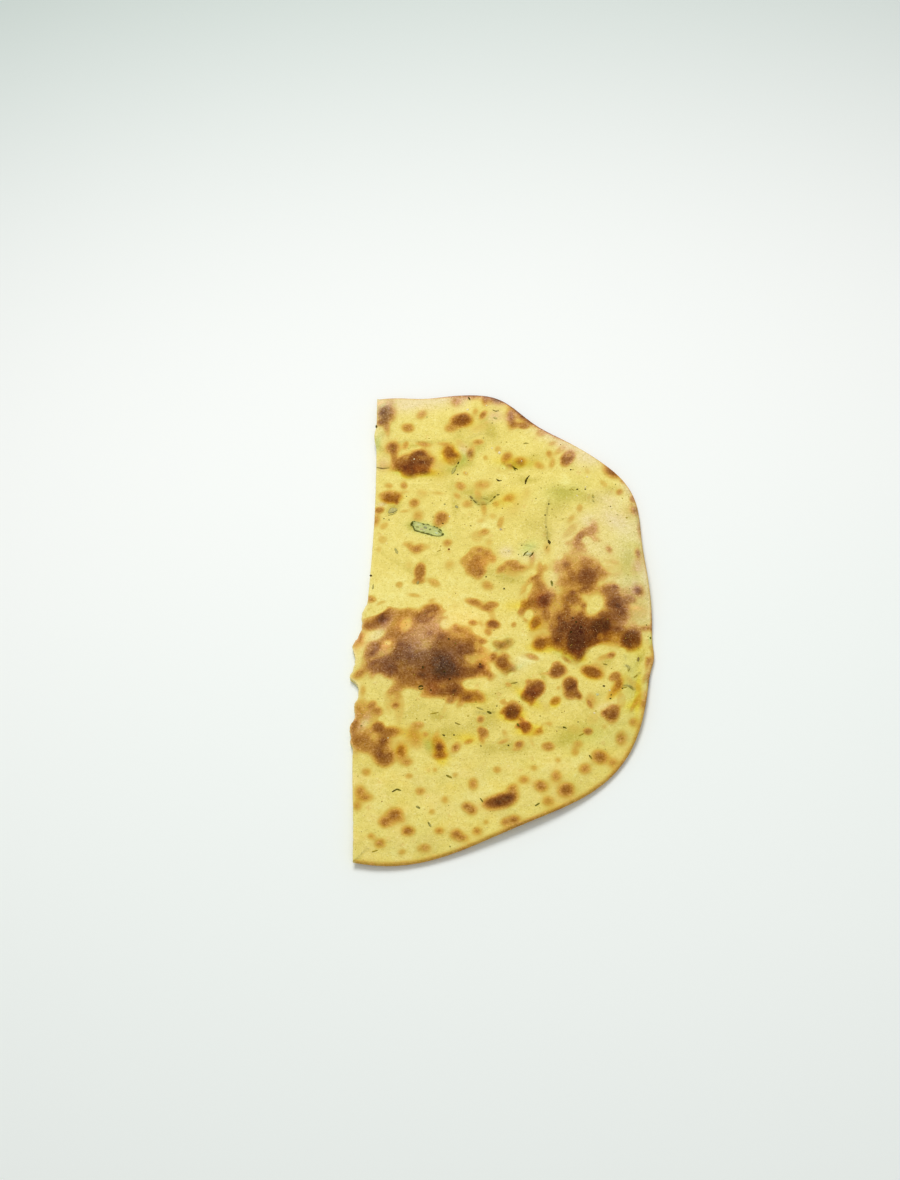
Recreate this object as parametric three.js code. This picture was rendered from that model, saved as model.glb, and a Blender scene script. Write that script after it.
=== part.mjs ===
import * as THREE from 'three';

// Half of a missi roti, a thin unleavened griddle bread of gram flour and
// wheat flour, lying flat on its underside with the well browned face up.
// The half was cut from a round of about 200 mm with one straight knife cut
// that passes a little beside the middle. The cut is clean at both ends and
// torn in between. Millimetres, +Z up.
//
// The shape is drawn first around the middle of the whole round: +Y runs along
// the cut, -X is the cut side and +X the round side. At the end it is moved so
// that the origin is at the bottom centre of its own box.

// ---- driving sizes, mm ----
const ROUND_RADIUS = 95.0;     // radius of the round between its swells
const CUT_OFFSET = 11.5;       // the knife passed this far beside the middle
const DOUGH = 2.7;             // thickness of the sheet away from its edges
const RIM = 1.9;               // thickness along the rolled-out rim
const CUT_EDGE = 2.5;          // thickness that the knife cut shows
const RIM_WIDTH = 10;          // how far in from the rim the sheet thins
const RIM_ROUND = 0.85;        // rounding of the rim, measured inwards
const CUT_ROUND = 0.12;        // rounding of the knife cut
const CURL_START = 0.6;        // the edges start to lift this far out of the middle (0..1)
const MIDDLE = { x: 39, y: 0 };   // middle of the half, seen from the middle of the round

// The rim isn't a true circle: where the dough was rolled further it stands
// out. Angle in degrees about the round's middle, height and width.
const SWELLS = [
  { at: 70.0, out: 8.1, wide: 9.7 },
  { at: 79.7, out: 1.2, wide: 5.2 },
  { at: 46.6, out: 3.7, wide: 13.2 },
  { at: 30.5, out: 7.0, wide: 11.2 },
  { at: 94.8, out: 2.0, wide: 9.5 },
  { at: -11.4, out: 1.1, wide: 3.1 },
  { at: -37.1, out: 8.6, wide: 19.2 },
  { at: -89.6, out: 4.6, wide: 19.5 },
];

// The cut wanders: two long bows, and short tears where the bread was pulled
// apart. Place along the cut, how far it steps in (+) or out (-), and width.
const CUT_WANDER = [
  { at: 47.8, by: 1.54, wide: 46.0 },
  { at: -54.4, by: -2.26, wide: 27.6 },
  { at: -43.1, by: -3.2, wide: 7.0 },
  { at: -42.2, by: 2.66, wide: 3.3 },
  { at: -52.5, by: -0.83, wide: 1.4 },
  { at: -34.8, by: 0.5, wide: 1.3 },
  { at: -26.4, by: -2.0, wide: 2.2 },
  { at: -23.9, by: -2.25, wide: 4.4 },
  { at: -13.5, by: -1.37, wide: 3.3 },
  { at: -13.8, by: -3.2, wide: 9.3 },
  { at: -0.2, by: -1.7, wide: 3.9 },
  { at: 78.4, by: -0.93, wide: 3.8 },
];
const TORN_FROM = -58, TORN_TO = 8;   // the torn stretch of the cut

// The edges lift a little off the table, as a griddle bread's do when it cools.
// Direction in degrees about the half's middle, height and width.
const CURLS = [
  { at: 114, up: 2.1, wide: 15 },
  { at: 62, up: 1.3, wide: 14 },
  { at: 14, up: 2.2, wide: 19 },
  { at: -38, up: 1.2, wide: 14 },
  { at: -84, up: 1.9, wide: 17 },
  { at: -117, up: 1.0, wide: 9 },
  { at: 172, up: 0.7, wide: 16 },
];

// Puffed places on the face: centre, half sizes and height.
const PUFFS = [
  { x: 11.5, y: -15, rx: 31, ry: 23, up: 1.5 },    // broad browned puff by the cut
  { x: 18, y: -18, rx: 15, ry: 12, up: 0.7 },
  { x: 72, y: 3, rx: 27, ry: 29, up: 1.4 },        // broad browned puff by the rim
  { x: 67, y: -8, rx: 11, ry: 10, up: 0.8 },
  { x: 71, y: 16, rx: 8, ry: 9, up: 0.5 },
  { x: 5.5, y: 68, rx: 12, ry: 9, up: 0.9 },
  { x: 23, y: 86, rx: 8, ry: 7, up: 0.7 },
  { x: -5, y: 84, rx: 7, ry: 8, up: 0.5 },
  { x: 46, y: 86, rx: 10, ry: 9, up: 0.9 },
  { x: 64.5, y: 67.5, rx: 7, ry: 8, up: 0.6 },
  { x: 29.6, y: 21.8, rx: 9, ry: 10, up: 0.8 },
  { x: 8.3, y: 17, rx: 6, ry: 9, up: 0.6 },
  { x: 42.9, y: 18.5, rx: 9, ry: 7, up: 0.7 },
  { x: -3.5, y: 51, rx: 8, ry: 6, up: 0.5 },
  { x: 51.7, y: -32.6, rx: 8, ry: 9, up: 0.8 },
  { x: 65.2, y: -30.8, rx: 6, ry: 8, up: 0.7 },
  { x: 80, y: -41.7, rx: 8, ry: 8, up: 0.7 },
  { x: 87.3, y: -11.8, rx: 7, ry: 8, up: 0.6 },
  { x: 43.8, y: -40.3, rx: 7, ry: 7, up: 0.7 },
  { x: 41, y: -76, rx: 9, ry: 8, up: 0.8 },
  { x: -6, y: -55, rx: 9, ry: 11, up: 0.7 },
  { x: 55, y: 47, rx: 17, ry: 20, up: 0.8 },       // pale puff over the middle
  { x: 28, y: 45, rx: 16, ry: 14, up: 0.5 },
  { x: 60, y: -62, rx: 16, ry: 13, up: 0.6 },
  { x: 15, y: -80, rx: 15, ry: 11, up: 0.5 },
];

// Fineness of the facets
const ARC_STEPS = 128;
const CUT_STEP = 5.0, TORN_STEP = 1.7;
const TOP_RINGS = [0.965, 0.925, 0.88, 0.83, 0.775, 0.715, 0.65, 0.585, 0.52, 0.45, 0.38, 0.31, 0.24, 0.17, 0.09];
const FOOT_RINGS = [0.93, 0.86, 0.78, 0.7, 0.6, 0.35];

// ---- functions of the sizes ----
const rad = Math.PI / 180;
const bell = (d, wide) => Math.exp(-(d / wide) * (d / wide));
const smooth = (t) => { const c = Math.min(1, Math.max(0, t)); return c * c * (3 - 2 * c); };
const turn = (a) => { let d = a % 360; if (d > 180) d -= 360; if (d < -180) d += 360; return d; };

function rimRadius(deg) {
  let r = ROUND_RADIUS;
  for (const s of SWELLS) r += s.out * bell(deg - s.at, s.wide);
  return r;
}
function rimPoint(deg) {
  const r = rimRadius(deg);
  return { x: r * Math.cos(deg * rad), y: r * Math.sin(deg * rad) };
}
function cutX(y) {
  let x = -CUT_OFFSET;
  for (const c of CUT_WANDER) x += c.by * bell(y - c.at, c.wide);
  return x;
}
// the angle at which the rim meets the cut, by halving
function cornerAngle(from, to) {
  let a = from, b = to;
  for (let i = 0; i < 50; i++) {
    const m = (a + b) / 2, p = rimPoint(m);
    if (p.x > cutX(p.y)) a = m; else b = m;
  }
  return (a + b) / 2;
}

// ---- the outline, anticlockwise, starting at the lower corner ----
const lower = cornerAngle(-60, -120), upper = cornerAngle(60, 120);
const outline = [];
for (let i = 0; i <= ARC_STEPS; i++) {
  const p = rimPoint(lower + (upper - lower) * i / ARC_STEPS);
  outline.push({ x: p.x, y: p.y, cut: (i === 0 || i === ARC_STEPS) ? 0.5 : 0 });
}
{
  const yTop = outline[outline.length - 1].y, yEnd = outline[0].y;
  let y = yTop;
  for (;;) {
    const torn = y < TORN_TO + 2 && y > TORN_FROM;
    y -= torn ? TORN_STEP : CUT_STEP;
    if (y < yEnd + 0.6 * CUT_STEP) break;
    outline.push({ x: cutX(y), y, cut: 1 });
  }
}
const COUNT = outline.length;
for (let i = 0; i < COUNT; i++) {
  const a = outline[(i + COUNT - 1) % COUNT], b = outline[(i + 1) % COUNT], p = outline[i];
  const dx = b.x - a.x, dy = b.y - a.y, l = Math.hypot(dx, dy);
  p.nx = dy / l; p.ny = -dx / l;        // outward
}
// the outline at a fraction s of its way round
function outlineAt(s) {
  const f = ((s % 1) + 1) % 1 * COUNT, i = Math.floor(f) % COUNT, k = f - Math.floor(f);
  const a = outline[i], b = outline[(i + 1) % COUNT];
  const mix = (n) => a[n] * (1 - k) + b[n] * k;
  return { x: mix('x'), y: mix('y'), nx: mix('nx'), ny: mix('ny'), cut: mix('cut') };
}

// ---- heights ----
function lift(x, y, t) {
  const deg = Math.atan2(y - MIDDLE.y, x - MIDDLE.x) / rad;
  const k = Math.max(0, (t - CURL_START) / (1 - CURL_START));
  let up = 0;
  for (const c of CURLS) up += c.up * bell(turn(deg - c.at), c.wide);
  return up * k * k * (1.6 - 0.6 * k);
}
function sheet(x, y, t, reach, edge) {
  const d = (1 - t) * reach;                       // about the distance from the edge
  const thin = 1 - smooth(d / RIM_WIDTH);
  let z = DOUGH + (edge - DOUGH) * thin;
  const inside = smooth(d / 7);
  z += inside * (0.16 * Math.sin(x / 8.5 + 0.7) * Math.cos(y / 10.5 + 1.1) + 0.12 * Math.sin((x + y) / 13 + 2.0));
  for (const p of PUFFS) {
    const q = ((x - p.x) / p.rx) ** 2 + ((y - p.y) / p.ry) ** 2;
    if (q < 1) z += p.up * (1 - q) * (1 - q) * (0.25 + 0.75 * inside);
  }
  return z;
}
const edgeThickness = (cut) => RIM + (CUT_EDGE - RIM) * cut;

// ---- rings of points, from the middle of the top, over the edge, to the middle of the foot ----
const verts = [];
const addVert = (x, y, z) => verts.push(x, y, z) / 3 - 1;

function ring(count, place) {
  const ids = [];
  for (let i = 0; i < count; i++) {
    const s = i / count;
    const v = place(outlineAt(s));
    ids.push({ s, id: addVert(v.x, v.y, v.z) });
  }
  return ids;
}
function inner(b, t) { return { x: MIDDLE.x + (b.x - MIDDLE.x) * t, y: MIDDLE.y + (b.y - MIDDLE.y) * t }; }
const reachOf = (b) => Math.hypot(b.x - MIDDLE.x, b.y - MIDDLE.y);
const inset = (b, k) => {
  const e = (RIM_ROUND + (CUT_ROUND - RIM_ROUND) * b.cut) * k;
  return { x: b.x - b.nx * e, y: b.y - b.ny * e };
};
const ringCount = (t) => Math.max(10, Math.round(COUNT * Math.min(1, t * 1.02)));

const tris = [];
// joins two rings; the first lies further along the way from the top middle to the foot middle
function stitch(outer, innerRing, flip) {
  const a = outer, b = innerRing;
  let i = 0, j = 0;
  const push = (p, q, r) => (flip ? tris.push(p, r, q) : tris.push(p, q, r));
  while (i < a.length || j < b.length) {
    const ai = a[i % a.length], bj = b[j % b.length];
    const nextA = (i + 1) / a.length, nextB = (j + 1) / b.length;
    if (j >= b.length || (i < a.length && nextA <= nextB)) {
      push(ai.id, a[(i + 1) % a.length].id, bj.id); i++;
    } else {
      push(ai.id, b[(j + 1) % b.length].id, bj.id); j++;
    }
  }
}

const topEdge = ring(COUNT, (b) => {
  const p = inset(b, 1);
  return { ...p, z: lift(p.x, p.y, 1) + sheet(p.x, p.y, 1, reachOf(b), edgeThickness(b.cut)) };
});
let previous = topEdge;
for (const t of TOP_RINGS) {
  const next = ring(ringCount(t), (b) => {
    const p = inner(b, t);
    return { ...p, z: lift(p.x, p.y, t) + sheet(p.x, p.y, t, reachOf(b), edgeThickness(b.cut)) };
  });
  stitch(previous, next, false);
  previous = next;
}
const topMiddle = addVert(MIDDLE.x, MIDDLE.y, sheet(MIDDLE.x, MIDDLE.y, 0, 60, RIM));
for (let i = 0; i < previous.length; i++) tris.push(previous[i].id, previous[(i + 1) % previous.length].id, topMiddle);

const waist = ring(COUNT, (b) => ({ x: b.x, y: b.y, z: lift(b.x, b.y, 1) + 0.5 * edgeThickness(b.cut) }));
stitch(topEdge, waist, true);
const footEdge = ring(COUNT, (b) => { const p = inset(b, 0.9); return { ...p, z: lift(p.x, p.y, 1) }; });
stitch(waist, footEdge, true);
previous = footEdge;
for (const t of FOOT_RINGS) {
  const next = ring(ringCount(t * 0.55), (b) => { const p = inner(b, t); return { ...p, z: lift(p.x, p.y, t) }; });
  stitch(previous, next, true);
  previous = next;
}
const footMiddle = addVert(MIDDLE.x, MIDDLE.y, 0);
for (let i = 0; i < previous.length; i++) tris.push(previous[(i + 1) % previous.length].id, previous[i].id, footMiddle);

// ---- origin to the bottom centre of the box ----
let low = [Infinity, Infinity, Infinity], high = [-Infinity, -Infinity, -Infinity];
for (let i = 0; i < verts.length; i += 3) {
  for (let k = 0; k < 3; k++) {
    low[k] = Math.min(low[k], verts[i + k]);
    high[k] = Math.max(high[k], verts[i + k]);
  }
}
const shift = [-(low[0] + high[0]) / 2, -(low[1] + high[1]) / 2, -low[2]];

const geometry = new THREE.BufferGeometry();
geometry.setAttribute('position', new THREE.Float32BufferAttribute(verts, 3));
geometry.setIndex(tris);
geometry.computeVertexNormals();

const roti = new THREE.Mesh(geometry, new THREE.MeshStandardMaterial({
  color: new THREE.Color(0.86, 0.74, 0.36), roughness: 0.85, metalness: 0,
}));
roti.name = 'roti_half';
roti.position.set(shift[0], shift[1], shift[2]);

const model = new THREE.Group();
model.add(roti);

export default model;
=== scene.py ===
import math

import bpy
import numpy as np
from mathutils import Matrix, Vector


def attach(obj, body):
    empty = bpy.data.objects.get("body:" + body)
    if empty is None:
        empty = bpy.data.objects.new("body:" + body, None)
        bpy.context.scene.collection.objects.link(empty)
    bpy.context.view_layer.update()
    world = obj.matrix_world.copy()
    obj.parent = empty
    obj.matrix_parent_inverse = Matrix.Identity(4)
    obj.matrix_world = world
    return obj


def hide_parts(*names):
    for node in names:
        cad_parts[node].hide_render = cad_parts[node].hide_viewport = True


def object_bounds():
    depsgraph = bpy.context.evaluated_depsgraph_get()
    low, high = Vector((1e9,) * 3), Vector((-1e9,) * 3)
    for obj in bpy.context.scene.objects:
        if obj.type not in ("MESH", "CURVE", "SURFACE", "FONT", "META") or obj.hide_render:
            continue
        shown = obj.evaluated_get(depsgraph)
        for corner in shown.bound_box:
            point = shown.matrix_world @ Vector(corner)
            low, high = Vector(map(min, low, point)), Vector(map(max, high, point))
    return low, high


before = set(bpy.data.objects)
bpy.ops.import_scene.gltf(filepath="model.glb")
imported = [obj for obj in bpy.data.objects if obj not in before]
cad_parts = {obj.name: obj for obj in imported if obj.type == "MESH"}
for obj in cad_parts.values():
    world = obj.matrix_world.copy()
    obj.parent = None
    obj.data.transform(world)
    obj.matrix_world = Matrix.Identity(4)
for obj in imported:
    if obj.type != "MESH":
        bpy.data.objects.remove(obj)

# Half of a missi roti, lying flat with its browned face up. Lengths below are
# in millimetres in the frame of the whole round (middle of the round at 0, 0,
# the cut along +Y), as in the part's own source, and SHIFT moves them to the
# part's frame. Places on the face are given in pixels of the photograph
# (900 x 1180) and are carried to the face through the camera.

CAD_LO, CAD_HI = [list(v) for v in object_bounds()]
SHIFT = np.array([-39.58753, 0.63266])
MM = 0.001


def smooth(t):
    c = np.clip(t, 0.0, 1.0)
    return c * c * (3 - 2 * c)


def bell(d, wide):
    return np.exp(-((d / wide) ** 2))


# --------------------------------------------------------------------------
# Camera: the photograph's view of the face
# --------------------------------------------------------------------------
CAM_AT = np.array([39.43, -345.05, 648.87])            # mm, part's frame
CAM_RIGHT = np.array([0.99668, 0.02351, -0.07798])
CAM_UP = np.array([0.01693, 0.87672, 0.48071])
CAM_LOOK = np.array([-0.07967, 0.48043, -0.87340])
FOCAL_PX = 1970.3                                      # in the 900 x 1180 frame

cam_data = bpy.data.cameras.new("camera")
cam_data.sensor_fit = "AUTO"
cam_data.sensor_width = 36.0
cam_data.lens = 36.0 * FOCAL_PX / 1180.0
cam_data.clip_start = 0.01
cam_data.clip_end = 50.0
cam = bpy.data.objects.new("camera", cam_data)
bpy.context.scene.collection.objects.link(cam)
rot = Matrix([CAM_RIGHT.tolist(), CAM_UP.tolist(), (-CAM_LOOK).tolist()]).transposed()
cam.matrix_world = Matrix.Translation(Vector((CAM_AT * MM).tolist())) @ rot.to_4x4()
bpy.context.scene.camera = cam


def to_px(x, y, z):
    """Photograph pixel of a point of the round's frame, mm."""
    vx, vy, vz = x + SHIFT[0] - CAM_AT[0], y + SHIFT[1] - CAM_AT[1], z - CAM_AT[2]
    d = vx * CAM_LOOK[0] + vy * CAM_LOOK[1] + vz * CAM_LOOK[2]
    r = vx * CAM_RIGHT[0] + vy * CAM_RIGHT[1] + vz * CAM_RIGHT[2]
    u = vx * CAM_UP[0] + vy * CAM_UP[1] + vz * CAM_UP[2]
    return 450 + FOCAL_PX * r / d, 590 - FOCAL_PX * u / d


def from_px(px, py, z):
    """Where the line of sight through a pixel meets the height z, mm."""
    a, b = (px - 450) / FOCAL_PX, (590 - py) / FOCAL_PX
    v = [CAM_LOOK[k] + a * CAM_RIGHT[k] + b * CAM_UP[k] for k in range(3)]
    t = (z - CAM_AT[2]) / v[2]
    return CAM_AT[0] + t * v[0] - SHIFT[0], CAM_AT[1] + t * v[1] - SHIFT[1]


# --------------------------------------------------------------------------
# Seeded noise
# --------------------------------------------------------------------------
class Noise:
    """Gradient noise in the plane, about -1 to 1."""

    def __init__(self, seed):
        a = np.random.RandomState(seed).rand(256, 256) * 2 * np.pi
        self.gx, self.gy = np.cos(a), np.sin(a)

    def __call__(self, x, y):
        x, y = np.asarray(x, float), np.asarray(y, float)
        i, j = np.floor(x).astype(int), np.floor(y).astype(int)
        fx, fy = x - i, y - j
        sx, sy = fx * fx * fx * (fx * (fx * 6 - 15) + 10), fy * fy * fy * (fy * (fy * 6 - 15) + 10)

        def corner(a, b):
            p, q = (i + a) & 255, (j + b) & 255
            return self.gx[p, q] * (fx - a) + self.gy[p, q] * (fy - b)

        top = corner(0, 0) * (1 - sx) + corner(1, 0) * sx
        low = corner(0, 1) * (1 - sx) + corner(1, 1) * sx
        return 1.45 * (top * (1 - sy) + low * sy)

    def layered(self, x, y, size, octaves=3, fall=0.5):
        out, amp, total = 0.0, 1.0, 0.0
        for k in range(octaves):
            s = size / 2.0 ** k
            out = out + amp * self(x / s + 17.3 * k, y / s + 9.1 * k)
            total += amp
            amp *= fall
        return out / total


N1, N2, N3, N4, N5, N6 = (Noise(s) for s in (11, 23, 37, 41, 59, 67))

# --------------------------------------------------------------------------
# The half roti's shape, as in the part
# --------------------------------------------------------------------------
ROUND_RADIUS, CUT_OFFSET = 95.0, 11.5
DOUGH, RIM, CUT_EDGE, RIM_WIDTH = 2.7, 1.9, 2.5, 10.0
CURL_START, MID_X, MID_Y = 0.6, 39.0, 0.0
SWELLS = [(70.0, 8.1, 9.7), (79.7, 1.2, 5.2), (46.6, 3.7, 13.2), (30.5, 7.0, 11.2),
          (94.8, 2.0, 9.5), (-11.4, 1.1, 3.1), (-37.1, 8.6, 19.2), (-89.6, 4.6, 19.5)]
CUT_WANDER = [(47.8, 1.54, 46.0), (-54.4, -2.26, 27.6), (-43.1, -3.2, 7.0), (-42.2, 2.66, 3.3),
              (-52.5, -0.83, 1.4), (-34.8, 0.5, 1.3), (-26.4, -2.0, 2.2), (-23.9, -2.25, 4.4),
              (-13.5, -1.37, 3.3), (-13.8, -3.2, 9.3), (-0.2, -1.7, 3.9), (78.4, -0.93, 3.8)]
TORN_FROM, TORN_TO = -58.0, 8.0
CURLS = [(114, 2.1, 15), (62, 1.3, 14), (14, 2.2, 19), (-38, 1.2, 14), (-84, 1.9, 17),
         (-117, 1.0, 9), (172, 0.7, 16)]
PUFFS = [(11.5, -15, 31, 23, 1.5), (18, -18, 15, 12, 0.7), (72, 3, 27, 29, 1.4), (67, -8, 11, 10, 0.8),
         (71, 16, 8, 9, 0.5), (5.5, 68, 12, 9, 0.9), (23, 86, 8, 7, 0.7), (-5, 84, 7, 8, 0.5),
         (46, 86, 10, 9, 0.9), (64.5, 67.5, 7, 8, 0.6), (29.6, 21.8, 9, 10, 0.8), (8.3, 17, 6, 9, 0.6),
         (42.9, 18.5, 9, 7, 0.7), (-3.5, 51, 8, 6, 0.5), (51.7, -32.6, 8, 9, 0.8), (65.2, -30.8, 6, 8, 0.7),
         (80, -41.7, 8, 8, 0.7), (87.3, -11.8, 7, 8, 0.6), (43.8, -40.3, 7, 7, 0.7), (41, -76, 9, 8, 0.8),
         (-6, -55, 9, 11, 0.7), (55, 47, 17, 20, 0.8), (28, 45, 16, 14, 0.5), (60, -62, 16, 13, 0.6),
         (15, -80, 15, 11, 0.5)]


def rim_radius(deg):
    return ROUND_RADIUS + sum(h * bell(deg - a, w) for a, h, w in SWELLS)


def cut_x(y):
    return -CUT_OFFSET + sum(h * bell(y - a, w) for a, h, w in CUT_WANDER)


def corner_angle(a, b):
    for _ in range(50):
        m = (a + b) / 2
        r = rim_radius(m)
        if r * math.cos(math.radians(m)) > cut_x(r * math.sin(math.radians(m))):
            a = m
        else:
            b = m
    return (a + b) / 2


STEP = 0.53
LOWER, UPPER = corner_angle(-60, -120), corner_angle(60, 120)


def make_outline():
    n = int(round((UPPER - LOWER) * math.pi / 180 * 98.5 / STEP))
    deg = LOWER + (UPPER - LOWER) * np.arange(n + 1) / n
    r = rim_radius(deg)
    ax, ay = r * np.cos(np.radians(deg)), r * np.sin(np.radians(deg))
    length = ay[-1] - ay[0]
    m = int(round(length / STEP))
    cy = ay[-1] - length * np.arange(1, m) / m
    cx = cut_x(cy)
    x, y = np.concatenate([ax, cx]), np.concatenate([ay, cy])
    cut = np.concatenate([np.zeros(n + 1), np.ones(m - 1)])
    cut[0] = cut[n] = 0.5
    return x, y, cut


def round_mean(a, k):
    """Mean of a closed ring of values over k neighbours each side."""
    out = a.copy()
    for i in range(1, k + 1):
        out += np.roll(a, i) + np.roll(a, -i)
    return out / (2 * k + 1)


OX, OY, OCUT = make_outline()
OTORN = smooth((OY - TORN_FROM) / 3) * smooth((TORN_TO - OY) / 3) * OCUT


def ring_normals(x, y, k=2):
    dx, dy = np.roll(x, -k) - np.roll(x, k), np.roll(y, -k) - np.roll(y, k)
    l = np.hypot(dx, dy)
    return dy / l, -dx / l


NX, NY = ring_normals(OX, OY)
# small unevenness of the edge, inwards only, so that it stays in the part's box
AROUND = np.concatenate([[0], np.cumsum(np.hypot(np.diff(OX), np.diff(OY)))])
small = 0.10 * (0.5 + 0.5 * N1.layered(OX, OY, 7.0, 3)) + 0.06 * np.abs(N2(OX / 1.7, OY / 1.7))
ragged = 0.50 * np.abs(N3.layered(OX * 0.4, OY, 2.6, 3)) + 0.32 * smooth(N4(OX * 0.3, OY / 1.15)) + 0.12 * np.abs(N2(OX, OY / 0.62))
clean = 0.05 + 0.07 * np.abs(N5(OX, OY / 2.3)) + 0.05 * np.abs(N2(OX, OY / 0.8))
BACK = (1 - OCUT) * small + OCUT * ((1 - OTORN) * clean + OTORN * (0.05 + ragged))
BACK = round_mean(BACK, 0)
OX2, OY2 = OX - NX * BACK, OY - NY * BACK
NX, NY = ring_normals(OX2, OY2, 2)
OCUT_S = round_mean(OCUT, 2)

# direction and reach of the outline from the middle of the half
ODEG = np.degrees(np.arctan2(OY - MID_Y, OX - MID_X))
order = np.argsort(ODEG)
ODEG_S, OREACH_S = ODEG[order], np.hypot(OX - MID_X, OY - MID_Y)[order]


def reach_at(deg):
    return np.interp(deg, ODEG_S, OREACH_S, period=360)


def lift(x, y):
    deg = np.degrees(np.arctan2(y - MID_Y, x - MID_X))
    t = np.hypot(x - MID_X, y - MID_Y) / reach_at(deg)
    k = np.clip((t - CURL_START) / (1 - CURL_START), 0, 1.02)
    up = sum(h * bell((deg - a + 180) % 360 - 180, w) for a, h, w in CURLS)
    return up * k * k * (1.6 - 0.6 * k)


def edge_distance(x, y):
    """Distance in from the outline and how much of that edge is knife cut."""
    d, c = np.empty(len(x)), np.empty(len(x))
    for i in range(0, len(x), 4000):
        q = (x[i:i + 4000, None] - OX2[None, ::2]) ** 2 + (y[i:i + 4000, None] - OY2[None, ::2]) ** 2
        j = q.argmin(1)
        d[i:i + 4000] = np.sqrt(q[np.arange(len(j)), j])
        c[i:i + 4000] = OCUT_S[::2][j]
    return d, c


def sheet_height(x, y, d, cut):
    """Height of the face over the table, without its fine relief."""
    edge = RIM + (CUT_EDGE - RIM) * cut
    z = DOUGH + (edge - DOUGH) * (1 - smooth(d / RIM_WIDTH))
    inside = smooth(d / 7)
    z = z + inside * (0.16 * np.sin(x / 8.5 + 0.7) * np.cos(y / 10.5 + 1.1) + 0.12 * np.sin((x + y) / 13 + 2.0))
    for px, py, rx, ry, up in PUFFS:
        q = ((x - px) / rx) ** 2 + ((y - py) / ry) ** 2
        z = z + np.where(q < 1, up * (1 - q) ** 2, 0) * (0.25 + 0.75 * inside) * 0.93
    return z + lift(x, y)


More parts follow.
